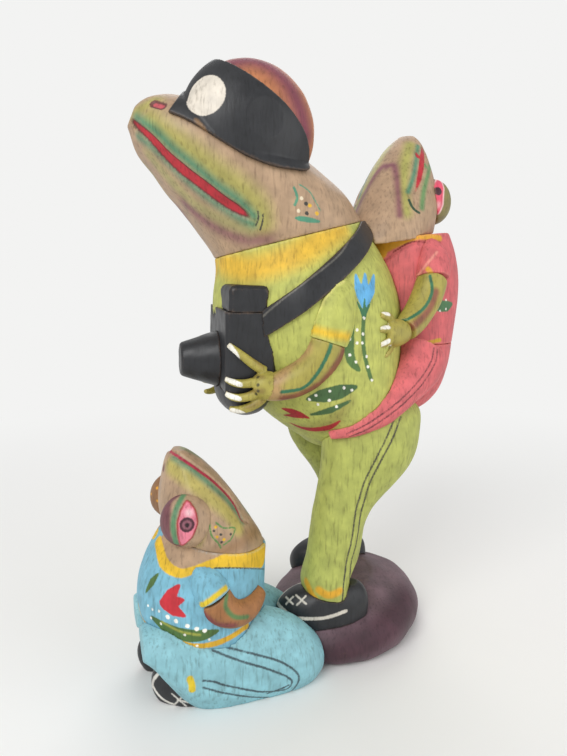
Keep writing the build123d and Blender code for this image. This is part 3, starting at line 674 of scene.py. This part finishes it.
@dataclass
class StandingFrog:
    """The tall frog: head, eye domes, sunglasses, shirt, arms, trousers and shoes."""

    torso_cut: Cut = Cut(1.05)
    limb_cut: Cut = Cut(0.7)
    hand_cut: Cut = Cut(0.55, 2, 0.1)
    glasses_cut: Cut = Cut(0.7, 2)
    strap_cut: Cut = Cut(0.6, 1, 0.08)

    def head(self) -> None:
        """Head with its mouth, washes of green, cheek pattern and nostril."""
        mouth = line((1.4, 2.6, 3.1, 3.0, 2.6, 0.5), (132.3, 122), (149.7, 138), (166.3, 156), (182.9, 171),
                     (202.8, 186), (222.7, 201), (240.9, 212.4), (248.4, 217.4))
        mouth_rim = Stroke(mouth.points, (1.9, 3.1, 3.6, 3.5, 3.1, 0.9))
        upper_lip = line(2.6, (135.6, 118), (154.7, 130.4), (174.6, 149.4), (193, 164.4), (216, 184),
                         (237.6, 199.2), (254, 216))
        lower_lip = line(2.0, (138, 136), (154.7, 149.4), (174.6, 169.3), (193, 186), (214.4, 202.5),
                         (241, 219), (252.5, 224))
        throat = line(4.0, (186, 204), (199.5, 216), (219, 227.5), (242.6, 236.5), (266, 237))
        cheek = line(6.5, (148, 119.6), (169.6, 136), (193, 153), (216, 171), (239, 187.6), (257.5, 206),
                     (262, 222))
        snout = line(5.0, (138, 111), (153, 101))
        jaw = line(4.0, (149.7, 156), (171, 181), (194.5, 204), (222.7, 220.7), (249, 230))
        nostril = line(1.6, (154, 103.5), (162, 105.5))
        nostril_rim = line(2.7, (153.5, 103), (162.5, 105.8))
        nostril_inside = line(1.7, (154.5, 103.4), (161.5, 105.4))
        creases = (line(0.5, (258, 211.6), (258.3, 218), (256, 225.7)),
                   line(0.5, (263.3, 214), (262.5, 222.4), (260, 230)))
        pattern = (line((0.6, 1.5, 1.5, 0.8), (295.7, 218), (305.6, 219.4), (318.9, 221.6)),
                   line(0.8, (294, 187.6), (297.3, 197.5), (294.8, 205)),
                   line(0.45, (299, 184.3), (308.9, 191), (314, 199), (320.5, 211)))
        cream_dots = dots(1.1, (301.5, 198.3), (298.6, 210.8))
        dark_dots = dots(1.2, (306.1, 203.8), (306.9, 213.3))
        gold_dots = dots(1.2, (309.8, 205.5), (316.9, 213.3))
        CarvedPiece("standing_head", "skin_paint").make(SKIN, (
            Coat(MAROON, (throat,), 5.0, 0.8),
            Coat(MOSS, (cheek, snout), 6.0, 0.75),
            Coat("#a3a064", (jaw,), 4.0, 0.7),
            Coat(TEAL, (upper_lip, lower_lip), 3.6, 0.9),
            Coat("#5c2026", (mouth_rim,), 0.5),
            Coat(MOUTH_RED, (mouth,), 0.4),
            Coat(NOSTRIL_BROWN, (nostril_rim,), 0.5),
            Coat("#c4565e", (nostril_inside,), 0.4),
            Coat(INK, creases, 0.3),
            Coat(LEAF_TEAL, pattern),
            Coat(CREAM, cream_dots, 0.3),
            Coat(INK, dark_dots, 0.3),
            Coat(GOLD, gold_dots, 0.3),
        ), (Groove((mouth,), 1.3, 1.2), Groove((nostril,), 0.9)))

    def eyes(self) -> None:
        """Both eye domes, plum above and orange below, and the sunglasses over them."""
        plum = line(7.0, (232, 62), (250, 60), (270, 67), (288, 84), (300, 108), (306, 134))
        worn_rim = line(1.1, (196, 120), (212, 137), (232, 151), (255, 163), (270, 171), (300, 171))
        disc = dots(11.2, (205, 94))
        for side in Side:
            eye = paired("standing", side, "eye", "eyelid_paint")
            eye.make(LID, (Coat("#7b3a4c", (plum,), 7.0, 0.95),))
        glasses = CarvedPiece("sunglasses", "black_paint", self.glasses_cut)
        glasses.make(BLACK, (Coat("#8f6c46", (worn_rim,), 0.9, 0.8), Coat("#d9d0c2", disc, 0.4)))

    def shirt(self) -> None:
        """Torso with its collar, flowers and leaves."""
        collar = line(8.0, (222, 262), (246, 269), (276, 263), (305, 250), (338, 228))
        shade = line((2.0, 5.0, 2.0), (300, 428), (330, 425), (348, 400))
        stem = line(1.4, (364, 315), (363, 335), (365, 357), (371, 379))
        stem_leaf = line((1.0, 3.4, 3.0, 1.2), (353, 325), (349, 341), (351, 359.6), (359, 370))
        low_leaves = (line((0.8, 4.4, 4.6, 1.2), (307, 399.4), (323, 396), (339.6, 392), (356, 387)),
                      line((0.8, 2.2, 0.8), (311, 414.7), (329.4, 410.6), (350, 401)))
        petal_half_mm = (2.2, 3.0, 0.8)
        petals = (line(petal_half_mm, (364, 305), (359, 290), (356, 275)),
                  line(petal_half_mm, (364, 305), (365, 290), (365, 274)),
                  line(petal_half_mm, (365, 305), (371, 290), (374, 275)))
        sepal_half_mm = (1.4, 0.5)
        sepals = (line(sepal_half_mm, (364, 316), (357.5, 302)),
                  line(sepal_half_mm, (364, 316), (364.5, 299)),
                  line(sepal_half_mm, (364, 316), (370.5, 302)))
        red_flower = (line((0.6, 2.8, 2.4, 0.6), (282, 408.6), (292.7, 412), (301, 415), (309, 418)),
                      line((0.5, 1.8, 0.5), (284, 415), (293, 416), (304, 418)),
                      line((0.6, 2.2, 2.2, 0.6), (290, 423), (307, 429), (327, 428), (340, 421)))
        stem_dots = dots(1.0, (357, 330), (349.8, 339), (357, 343), (349.8, 355), (356, 362), (364, 318),
                         (363, 334), (362.4, 343), (366.5, 356.5), (368, 366.7), (371.8, 380))
        leaf_dots = dots(1.0, (309.4, 399.4), (316, 395.3), (318, 404.5), (329.8, 391.2), (329.4, 400.4),
                         (336.5, 406.5), (344, 387.8), (351.8, 390.2))
        specks = dots(0.8, (341, 315), (344, 320), (346, 323), (342, 324), (339, 293))
        CarvedPiece("standing_torso", "green_shirt_paint", self.torso_cut).make(GREEN, (
            Coat("#dcb138", (collar,), 6.5, 0.95),
            Coat("#6f4a2a", (shade,), 6.0, 0.5),
            Coat("#55763f", (stem, stem_leaf), 0.5),
            Coat("#46653b", low_leaves, 0.5),
            Coat("#62acdc", petals, 0.4),
            Coat("#3c7650", sepals, 0.3),
            Coat("#a8262b", red_flower, 0.4),
            Coat(WHITE_DOT, stem_dots + leaf_dots, 0.3),
            Coat(INK, specks, 0.4, 0.7),
        ))

    def strap(self) -> None:
        """The camera strap's two halves, with light on their upper edge."""
        shine = line(0.5, (353, 229), (344, 249), (329, 264), (303, 284), (282, 300), (262, 317))
        for side in Side:
            half = CarvedPiece(f"{side.value}_camera_strap", "black_paint", self.strap_cut,
                               traced_on="left_camera_strap")
            half.make(BLACK, (Coat("#77746c", (shine,), 0.5, 0.7),))

    def arms(self) -> None:
        """Sleeves, bare forearms and the hands on the camera."""
        hem = line(2.4, (311, 329), (329.4, 334), (348, 337))
        # Painted highlight along the sleeve's raised front edge.
        ridge_highlight = line(0.9, (347, 273), (326, 298), (313, 323))
        worn_skin = (line(4.0, (306, 345), (292, 362), (276, 382)), line(5.0, (272, 386), (278, 400)))
        under_arm = line(3.6, (346, 343), (340, 360), (325, 380), (306, 396), (286, 402))
        arm_band = line(1.1, (332, 341), (328, 354), (317, 374), (303, 388), (282, 392))
        nails = (line((2.0, 1.7), (227, 344), (240, 360)), line((1.8, 1.5), (226, 378), (240, 385)),
                 line((1.8, 1.5), (226, 394), (239, 399)), line((1.7, 1.4), (232, 411), (243, 413)))
        finger_shade = (line(1.6, (246, 352), (262, 366)), line(1.6, (246, 374), (262, 377)),
                        line(1.6, (246, 391), (262, 391)), line(1.6, (248, 407), (262, 402)))
        knuckles = dots(1.0, (258, 377), (258, 385), (258, 391), (256, 394))
        for side in Side:
            sleeve = paired("standing", side, "sleeve", "green_shirt_paint", self.limb_cut)
            sleeve.make(GREEN, (Coat("#e6bd2f", (hem,), 2.6, 0.95), Coat("#dfdb82", (ridge_highlight,), 0.9, 0.8)))
            forearm = paired("standing", side, "forearm", "skin_paint", self.limb_cut)
            forearm.make(ARM, (Coat("#b08a62", worn_skin, 3.0, 0.8), Coat(ARM_MAROON, (under_arm,), 2.0, 0.9),
                               Coat(ARM_TEAL, (arm_band,), 0.5)))
            hand = paired("standing", side, "hand", "skin_paint", self.hand_cut)
            hand.make(ARM, (Coat("#7a5a34", finger_shade, 1.4, 0.5), Coat("#3c3a26", knuckles, 0.5, 0.9),
                            Coat(WHITE_DOT, nails, 0.4)))

    def legs(self) -> None:
        """Trouser legs with their double stripes, and the laced shoes."""
        stripes = {
            Side.LEFT: (line(0.7, (396, 415), (387, 437), (376, 459), (365, 481), (360, 497), (356, 511),
                             (352, 539), (346, 566), (342, 605)),
                        line(0.7, (401, 417), (392, 440), (381, 461), (370, 483), (365, 499), (361, 514),
                             (357, 541), (351, 567), (348, 603))),
            Side.RIGHT: (line(0.7, (305, 433), (305, 450), (313, 470), (319, 483)),
                         line(0.7, (310, 434), (310, 448), (317, 466), (322, 478))),
        }
        cuff = line(2.6, (306, 582), (314, 597), (327, 606), (350, 601))
        laces = (line(0.6, (286, 597), (293, 604)), line(0.6, (286, 604), (293, 597)),
                 line(0.6, (296, 595), (306, 604)), line(0.6, (297, 605), (306, 596)))
        rim = line(1.1, (300, 583), (285, 587), (277, 600), (285, 611), (296, 618), (324, 618), (346, 611))
        cuffs = {Side.LEFT: (Coat("#e0a92e", (cuff,), 1.2),), Side.RIGHT: ()}
        marks = {Side.LEFT: (Coat("#cfc8bc", (rim, *laces), 0.4),), Side.RIGHT: ()}
        for side in Side:
            leg = CarvedPiece(f"standing_{side.value}_leg", "green_trouser_paint")
            leg.make(TROUSER_GREEN, (Coat("#4a4838", stripes[side]), *cuffs[side]),
                     (Groove(stripes[side], 0.25, 0.8),))
            CarvedPiece(f"standing_{side.value}_shoe", "black_paint", self.limb_cut).make(BLACK, marks[side])

    def build(self) -> None:
        """Make every piece of the standing frog."""
        self.head()
        self.eyes()
        self.shirt()
        self.strap()
        self.arms()
        self.legs()


@dataclass
class CarvedCamera:
    """The wooden camera: body, block on top, lens and rounded grip."""

    cut: Cut = Cut(0.6, 4, 0.3, 7.0)

    def build(self) -> None:
        """Carve and paint the four camera pieces with softened edges."""
        for node in ("camera_body", "camera_prism_housing", "camera_lens", "camera_grip"):
            CarvedPiece(node, "black_paint", self.cut).make(BLACK)


@dataclass
class Rider:
    """The small frog on the back, which looks straight up."""

    neck_turn_deg: float = 35.0
    neck: tuple[float, float, float] = (0.0, 30.0, 272.0)
    eye_cut: Cut = Cut(0.6)
    leg_cut: Cut = Cut(0.8)
    arm_cut: Cut = Cut(0.7)
    hand_cut: Cut = Cut(0.55, 2, 0.1)

    def head_mirror(self) -> Mirror:
        """Middle plane of the turned head."""
        turn = math.radians(self.neck_turn_deg)
        return Mirror(self.neck, (math.cos(turn), math.sin(turn), 0.0))

    def head(self) -> None:
        """Head with its mouth, bands and cheek pattern."""
        mouth = line((1.0, 2.3, 2.0, 0.5), (424, 136), (423, 158), (420, 177), (415, 193))
        moss_band = line(4.0, (410, 145), (405, 165), (403, 190), (406, 212))
        green_band = line(1.8, (431, 142), (430, 165), (424, 190), (422, 208))
        maroon_arch = line(2.2, (366, 186), (378, 174), (391, 165), (396, 172), (398, 192), (400, 215))
        lip = line(1.5, (418, 146), (416, 162), (413, 178), (408, 192))
        crease = line(0.9, (409, 200), (413, 208), (419, 213))
        gold_dots = dots(1.1, (372, 195), (371, 201), (362, 206), (357, 210))
        cream_dots = dots(0.9, (373, 207), (366, 202))
        leaf = line((0.5, 1.4, 0.5), (360, 214), (366, 215), (372, 211))
        CarvedPiece("rider_head", "skin_paint", mirror=self.head_mirror()).make(SKIN, (
            Coat("#a3a352", (moss_band,), 3.6, 0.85),
            Coat("#5f8f58", (green_band,), 1.6, 0.9),
            Coat(MAROON, (maroon_arch,), 2.4, 0.85),
            Coat(TEAL, (lip,), 1.6, 0.9),
            Coat(MOUTH_RED, (mouth,), 0.4),
            Coat("#2f4a34", (crease,), 0.4),
            Coat(GOLD, gold_dots, 0.3),
            Coat(CREAM, cream_dots, 0.3),
            Coat(LEAF_TEAL, (leaf,), 0.4),
        ), (Groove((mouth,), 0.9, 1.0),))

    def eyes(self) -> None:
        """Both eyes: a pale rim, the pink eye with its shine, and the pupil."""
        pale_rim = line((1.5, 4.6, 4.6, 1.5), (439, 177), (439, 187), (438, 204), (436, 216))
        pink = line((1.0, 3.6, 3.6, 1.0), (439, 180), (439, 187), (438, 203), (437, 213))
        shine = dots(2.0, (438, 205))
        pupil = dots(2.9, (438, 191))
        for side in Side:
            eye = paired("rider", side, "eye", "eyelid_paint", self.eye_cut, self.head_mirror())
            eye.make(OLIVE_LID, (Coat("#f0c4c4", (pale_rim,), 0.5), Coat("#e0506a", (pink,), 0.8),
                                 Coat("#efb4b8", shine, 2.0, 0.8), Coat(PUPIL_MAROON, pupil, 0.4)))

    def clothes(self) -> None:
        """Shirt with its collar, hem and leaf, and the plain trousers."""
        seam = line(0.7, (381, 263), (401, 250), (421, 242.6), (441, 242))
        seam_shade = line(0.6, (381, 264), (397, 250), (412, 242), (428, 242), (441, 242))
        collar = (line((6.0, 7.0, 5.0), (362, 240), (370, 247), (380, 252)),
                  line((5.4, 3.8, 2.4, 2.0), (378, 248), (397, 241), (418, 236), (440, 238)))
        leaf = line((0.8, 3.8, 3.6, 1.0), (432, 306), (440, 306), (447, 306), (452, 304))
        hem = line(1.4, (392, 338), (411, 346), (440, 340))
        leaf_dots = dots(0.8, (434, 307), (440, 302), (440, 311), (446, 300), (446, 309))
        CarvedPiece("rider_torso", "pink_shirt_paint").make(PINK, (
            Coat("#dda32e", collar, 1.0),
            Coat("#7a2c22", (seam_shade,), 0.4),
            Coat("#4f7a52", (leaf,), 0.5),
            Coat("#c9a02e", (hem,), 0.6),
            Coat(WHITE_DOT, leaf_dots, 0.3),
        ), (Groove((seam,), 0.7, 1.0),))
        CarvedPiece("rider_trousers", "pink_trouser_paint").make(PINK)

    def limbs(self, side: Side) -> None:
        """Leg, sleeve, forearm and hand of one side.

        Args:
            side: Side that they are on.
        """
        stripes = (line(0.55, (434, 348), (431, 362), (418, 382), (397, 403), (369, 423), (347, 434)),
                   line(0.55, (438, 350), (435, 364), (422, 385), (400, 407), (372, 427), (350, 437)))
        cuff = line(1.6, (428, 269), (434, 278), (441, 287))
        # Painted highlight along the sleeve's raised front edge.
        ridge_highlight = line(0.8, (437, 252), (426, 265), (411, 285))
        under_arm = line(2.6, (436, 292), (430, 308), (416, 324), (397, 334))
        arm_band = line(1.0, (430, 276), (432, 292), (424, 308), (408, 319), (396, 321))
        nails = (line((1.7, 1.3), (377, 310), (389, 314)), line((1.7, 1.3), (376, 327), (389, 327)),
                 line((1.7, 1.3), (376, 347), (389, 341)))
        leg = paired("rider", side, "leg", "pink_trouser_paint", self.leg_cut)
        leg.make(PINK, (Coat("#5c2f33", stripes),), (Groove(stripes, 0.3, 0.8),))
        sleeve = paired("rider", side, "sleeve", "pink_shirt_paint", self.arm_cut)
        sleeve.make(PINK, (Coat("#e0a72e", (cuff,), 0.9), Coat("#f0a090", (ridge_highlight,), 0.8, 0.8)))
        arm = paired("rider", side, "forearm", "skin_paint", self.arm_cut)
        arm.make(ARM, (Coat(ARM_MAROON, (under_arm,), 2.0, 0.9), Coat(ARM_TEAL, (arm_band,), 0.5)))
        hand = paired("rider", side, "hand", "skin_paint", self.hand_cut)
        hand.make(ARM, (Coat(WHITE_DOT, nails, 0.4),))

    def build(self) -> None:
        """Make every piece of the rider."""
        self.head()
        self.eyes()
        self.clothes()
        for side in Side:
            self.limbs(side)


@dataclass
class KneelingFrog:
    """The small frog in front, which kneels and looks up."""

    mirror: Mirror = Mirror((28.0, 0.0, 0.0))
    head_cut: Cut = Cut(0.7)
    broad_cut: Cut = Cut(0.8)
    eye_cut: Cut = Cut(0.5, 2)
    arm_cut: Cut = Cut(0.5, 1, 0.1)
    shoe_cut: Cut = Cut(0.6)

    def paired(self, side: Side, part: str, slot: str, cut: Cut) -> CarvedPiece:
        """One of two like pieces of this figure, whose right side is the near one."""
        return paired("kneeling", side, part, slot, cut, self.mirror, Side.RIGHT)

    def head(self) -> None:
        """Head with its mouth, bands and cheek pattern."""
        mouth = line((1.2, 1.6, 1.6, 0.5), (166, 449), (190, 463), (211, 478), (225, 491), (235, 504),
                     (242, 519), (248, 522))
        jaw = line(4.0, (196, 553), (218, 553), (240, 543), (258, 528))
        cheek = (line(4.6, (170, 466), (192, 482), (211, 498), (227, 512), (238, 527)),
                 line(2.4, (200, 505), (203, 522), (197, 542)))
        upper_lip = line(2.2, (174, 443), (198, 456), (219, 471), (233, 485), (243, 500), (248, 512))
        lower_lip = line(1.9, (173.6, 457), (194, 470.7), (209, 483.6), (223.6, 496.6), (234.7, 509.5),
                         (242, 520.6))
        nostril = line(1.2, (164.4, 460), (163.6, 470))
        pattern = (line(0.5, (209.7, 524), (211.5, 535.4), (218, 543), (221, 548)),
                   line(0.5, (216, 522.5), (223.6, 528), (234.7, 528), (231, 539), (223.6, 545)))
        gold_dots = dots(0.9, (215.8, 527), (217, 537), (223.9, 539.5))
        dark_dots = dots(0.8, (214, 530.8), (220.8, 534.5), (221.7, 542.3), (230.7, 534))
        CarvedPiece("kneeling_head", "skin_paint", self.head_cut, self.mirror).make(SKIN, (
            Coat("#8a6238", (jaw,), 5.0, 0.6),
            Coat("#b5a95a", cheek, 3.2, 0.9),
            Coat("#7f8c62", (upper_lip,), 2.0, 0.85),
            Coat(TEAL, (lower_lip,), 2.6, 0.85),
            Coat("#b0304a", (mouth,), 0.4),
            Coat(NOSTRIL_BROWN, (nostril,), 0.6),
            Coat("#5f8a4a", pattern, 0.3),
            Coat(GOLD, gold_dots, 0.3),
            Coat(INK, dark_dots, 0.3),
        ), (Groove((mouth,), 0.9, 1.0),))

    def near_eye(self) -> None:
        """The near eye: a maroon crescent, a green band and the pink eye."""
        white = line((0.4, 3.6, 4.8, 3.6, 0.4), (187, 502), (188, 513), (187.5, 523), (185.5, 534),
                     (182, 544))
        red_rim = Stroke(white.points, (1.1, 4.5, 5.7, 4.5, 1.1))
        crescent = line((2.0, 4.6, 5.6, 4.6, 2.0), (179, 491), (167, 503), (163, 522), (167, 540), (177, 550))
        green_band = line(1.6, (184, 494), (176, 509.5), (173, 526), (176, 543))
        shine = dots(2.0, (189, 513))
        pupil_place = (187, 524.7)
        eye = CarvedPiece("kneeling_right_eye", "eyelid_paint", self.eye_cut, self.mirror)
        eye.make(SKIN, (
            Coat("#70404a", (crescent,), 1.6, 0.95),
            Coat("#4f8a60", (green_band,), 1.0, 0.9),
            Coat("#b02c3c", (red_rim,), 0.4),
            Coat("#e27f92", (white,), 0.4),
            Coat("#f4d4d6", shine, 1.6, 0.8),
            Coat(PUPIL_MAROON, dots(4.0, pupil_place), 0.4),
            Coat("#8a5562", dots(2.6, pupil_place), 0.5),
            Coat("#2c161e", dots(1.4, pupil_place), 0.4),
        ), (Groove((white,), -0.8, 1.2),))

    def far_eye(self) -> None:
        """The far eye, of which only a brown edge with a green band shows."""
        green_band = line(2.0, (160, 468), (150, 478), (145.5, 494), (146, 512))
        gold_dots = dots(0.9, (153, 480), (157, 488), (151, 494), (157, 501), (152, 508), (158, 516))
        eye = CarvedPiece("kneeling_left_eye", "eyelid_paint", self.eye_cut, UNFOLDED)
        eye.make(BROWN_LID, (Coat("#5f8a58", (green_band,), 1.6, 0.9), Coat("#e0a232", gold_dots, 0.3)))

    def shirt(self) -> None:
        """Torso with its open collar, tulip, leaf and hem."""
        bare_neck = (line(7.0, (266, 518), (240, 530), (216, 541), (194, 549), (177, 551), (166, 543)),
                     line(4.0, (262, 530), (240, 544), (216, 555), (196, 562), (178, 563), (167, 553)))
        collar = line((3.2, 3.4, 2.6, 2.0, 2.7, 5.5, 8.0), (158, 541), (164, 563), (179, 573), (194, 570),
                      (216, 563), (240, 558), (262, 554))
        seam = line(0.45, (214, 568), (238.4, 568), (264, 569))
        leaves = (line((0.8, 3.4, 4.2, 3.4, 0.8), (151.4, 617), (166, 628), (184.7, 635.3), (203, 635.3),
                       (218, 630.7)), line((0.6, 2.2, 0.6), (146, 592), (152, 582), (158, 574)))
        leaf_vein = line(0.7, (162, 622), (181, 631.6), (200, 635))
        tulip = (line((2.6, 3.4, 0.8), (164, 602), (171, 595), (179, 585.4)),
                 line((3.0, 3.6, 0.8), (164, 603), (173, 602), (183, 600)),
                 line((2.6, 3.4, 0.8), (165, 605), (174, 610), (184.7, 616)))
        hem = line(1.8, (136, 607), (143, 620), (156, 632), (176, 641), (196, 646), (214, 644), (231, 637),
                   (247, 626))
        large_dots = dots(1.3, (167.7, 617), (176, 621), (187.5, 626), (196.8, 629), (204.7, 630.7))
        small_dots = dots(0.8, (161, 623.8), (159, 632.7), (167, 638.6), (179.7, 643), (188, 645),
                          (197, 645.6), (209.5, 639.7), (184.7, 635), (148, 605.7), (152.4, 609.4),
                          (159, 611), (151, 618))
        CarvedPiece("kneeling_torso", "blue_shirt_paint", self.broad_cut, self.mirror).make(BLUE, (
            Coat(SKIN.colour, bare_neck, 0.8),
            Coat("#e2b82c", (collar,), 0.5),
            Coat("#3f4a3a", (seam,), 0.3),
            Coat("#4f7038", leaves, 0.4),
            Coat("#b5b34a", (leaf_vein,), 0.7, 0.7),
            Coat("#c22a35", tulip, 0.4),
            Coat("#d8a82c", (hem,), 0.5),
            Coat(WHITE_DOT, large_dots + small_dots, 0.3),
        ))

    def arms(self) -> None:
        """Sleeves with a yellow cuff, and the bare forearms."""
        cuff = line(1.6, (199.5, 608), (213, 598), (226, 588))
        under_arm = line(2.4, (203, 613), (216, 624), (233, 626))
        arm_band = line(1.3, (227, 595), (226, 607.5), (234.7, 617), (247.6, 617))
        for side in (Side.RIGHT, Side.LEFT):
            sleeve = self.paired(side, "sleeve", "blue_shirt_paint", self.arm_cut)
            sleeve.make(BLUE, (Coat("#e0c22e", (cuff,), 0.8),))
            arm = self.paired(side, "forearm", "skin_paint", self.arm_cut)
            arm.make(BROWN_ARM, (Coat("#8a3c3a", (under_arm,), 1.8, 0.9), Coat("#5a7a48", (arm_band,), 0.9)))

    def legs(self) -> None:
        """Folded legs with their stripes, and the shoes behind them."""
        stripes = (line(0.7, (212, 650), (240, 661), (267, 669), (287, 677), (292, 683), (285, 690),
                        (261, 692), (227, 686), (214, 682), (203, 681)),
                   line(0.7, (226, 647), (261, 656), (281, 662), (297, 673), (298, 683), (287, 694),
                        (261, 698), (227, 694), (203, 688)))
        patch = line(1.9, (190, 679), (192, 685), (192, 690))
        arc = line(1.0, (160, 672), (153, 681), (153, 694), (161, 706), (171, 708))
        laces = (line(0.55, (172, 694), (186, 706)), line(0.55, (174, 705), (186, 693)),
                 line(0.55, (178, 700), (204, 706)), line(0.55, (190, 693), (198, 706)))
        for side in (Side.RIGHT, Side.LEFT):
            leg = self.paired(side, "leg", "blue_trouser_paint", self.broad_cut)
            leg.make(TROUSER_BLUE, (Coat("#465a60", stripes), Coat("#dcc02e", (patch,), 0.5)),
                     (Groove(stripes, 0.3, 0.8),))
            shoe = self.paired(side, "shoe", "black_paint", self.shoe_cut)
            shoe.make(BLACK, (Coat("#d8d4cc", (arc, *laces), 0.4),))

    def build(self) -> None:
        """Make every piece of the kneeling frog."""
        self.head()
        self.near_eye()
        self.far_eye()
        self.shirt()
        self.arms()
        self.legs()


@dataclass
class Dowels:
    """Hidden birch pegs, which keep their own solids."""

    nodes: tuple[str, ...] = ("head_dowel", "camera_dowel", "rider_dowel",
                              "left_leg_dowel", "right_leg_dowel")

    def build(self) -> None:
        """Give every peg its wood."""
        for node in self.nodes:
            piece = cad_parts[node]
            piece.data.materials.clear()
            piece.data.materials.append(PEG.material(node, ()))


@dataclass(frozen=True)
class Lamp:
    """One soft square lamp: its place and side in metres, and its power in watts."""

    name: str
    place: tuple[float, float, float]
    watts: float
    side: float
    aim: tuple[float, float, float] = (0.0, -0.03, 0.18)

    def build(self) -> None:
        """Hang the lamp so that it faces the group."""
        data = bpy.data.lights.new(self.name, "AREA")
        data.energy = self.watts
        data.size = self.side
        lamp = bpy.data.objects.new(self.name, data)
        lamp.location = self.place
        lamp.rotation_euler = (Vector(self.aim) - lamp.location).to_track_quat("-Z", "Y").to_euler()
        bpy.context.scene.collection.objects.link(lamp)


@dataclass
class Studio:
    """Pale floor, soft lamps and an even surround; lengths in metres."""

    floor_half: float = 20.0
    fade_from: float = 0.2
    fade_to: float = 0.9
    paper: str = "#f0f0ee"
    paper_roughness: float = 0.8
    backdrop: str = "#f3f3f2"
    world_strength: float = 0.55
    lamps: tuple[Lamp, ...] = (
        Lamp("key", (0.75, -0.85, 0.95), 9.0, 0.7),
        Lamp("fill", (0.9, 0.7, 0.5), 3.5, 0.9),
        Lamp("back", (-0.8, 0.3, 0.9), 4.0, 0.8),
    )

    def floor(self) -> None:
        """A paper floor, which fades into the even backdrop."""
        half = self.floor_half
        mesh = bpy.data.meshes.new("floor")
        mesh.from_pydata([(-half, -half, 0), (half, -half, 0), (half, half, 0), (-half, half, 0)], [],
                         [(0, 1, 2, 3)])
        floor = bpy.data.objects.new("floor", mesh)
        bpy.context.scene.collection.objects.link(floor)
        paper = bpy.data.materials.new("pale paper floor")
        paper.use_nodes = True
        tree = paper.node_tree
        tree.nodes.clear()
        near = add_node(tree, "ShaderNodeBsdfPrincipled",
                        values={"Base Color": linear(self.paper), "Roughness": self.paper_roughness})
        far = add_node(tree, "ShaderNodeEmission", values={"Color": linear(self.backdrop)})
        space = add_node(tree, "ShaderNodeTexCoord").outputs["Object"]
        away = add_node(tree, "ShaderNodeVectorMath", {"operation": "LENGTH"},
                        links={0: space}).outputs["Value"]
        share = add_node(tree, "ShaderNodeMapRange", {"interpolation_type": "SMOOTHSTEP"},
                         {"From Min": self.fade_from, "From Max": self.fade_to}, {"Value": away}).outputs[0]
        mixed = add_node(tree, "ShaderNodeMixShader", links={0: share, 1: near.outputs[0], 2: far.outputs[0]})
        add_node(tree, "ShaderNodeOutputMaterial", links={"Surface": mixed.outputs[0]})
        mesh.materials.append(paper)

    def surround(self) -> None:
        """A dim world that lights the group, and the backdrop that the camera sees."""
        world = bpy.data.worlds.new("pale surround")
        world.use_nodes = True
        tree = world.node_tree
        tree.nodes.clear()
        lit = add_node(tree, "ShaderNodeBackground",
                       values={"Color": (1, 1, 1, 1), "Strength": self.world_strength})
        seen = add_node(tree, "ShaderNodeBackground",
                        values={"Color": linear(self.backdrop), "Strength": 1.0})
        camera_ray = add_node(tree, "ShaderNodeLightPath").outputs["Is Camera Ray"]
        mixed = add_node(tree, "ShaderNodeMixShader",
                         links={0: camera_ray, 1: lit.outputs[0], 2: seen.outputs[0]})
        add_node(tree, "ShaderNodeOutputWorld", links={"Surface": mixed.outputs[0]})
        bpy.context.scene.world = world

    def build(self) -> None:
        """Make the floor, the lamps and the world."""
        bpy.context.scene.view_settings.view_transform = "Standard"
        self.floor()
        for lamp in self.lamps:
            lamp.build()
        self.surround()


def main() -> None:
    """Build every sub-assembly in order."""
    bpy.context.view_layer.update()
    VIEW.make_camera()
    for part in (RockBase(), StandingFrog(), CarvedCamera(), Rider(), KneelingFrog(), Dowels(), Studio()):
        part.build()
        LOG.info("finished %s", type(part).__name__)


if __name__ == "__main__":
    logging.basicConfig(level=logging.INFO, format="%(message)s")
    main()
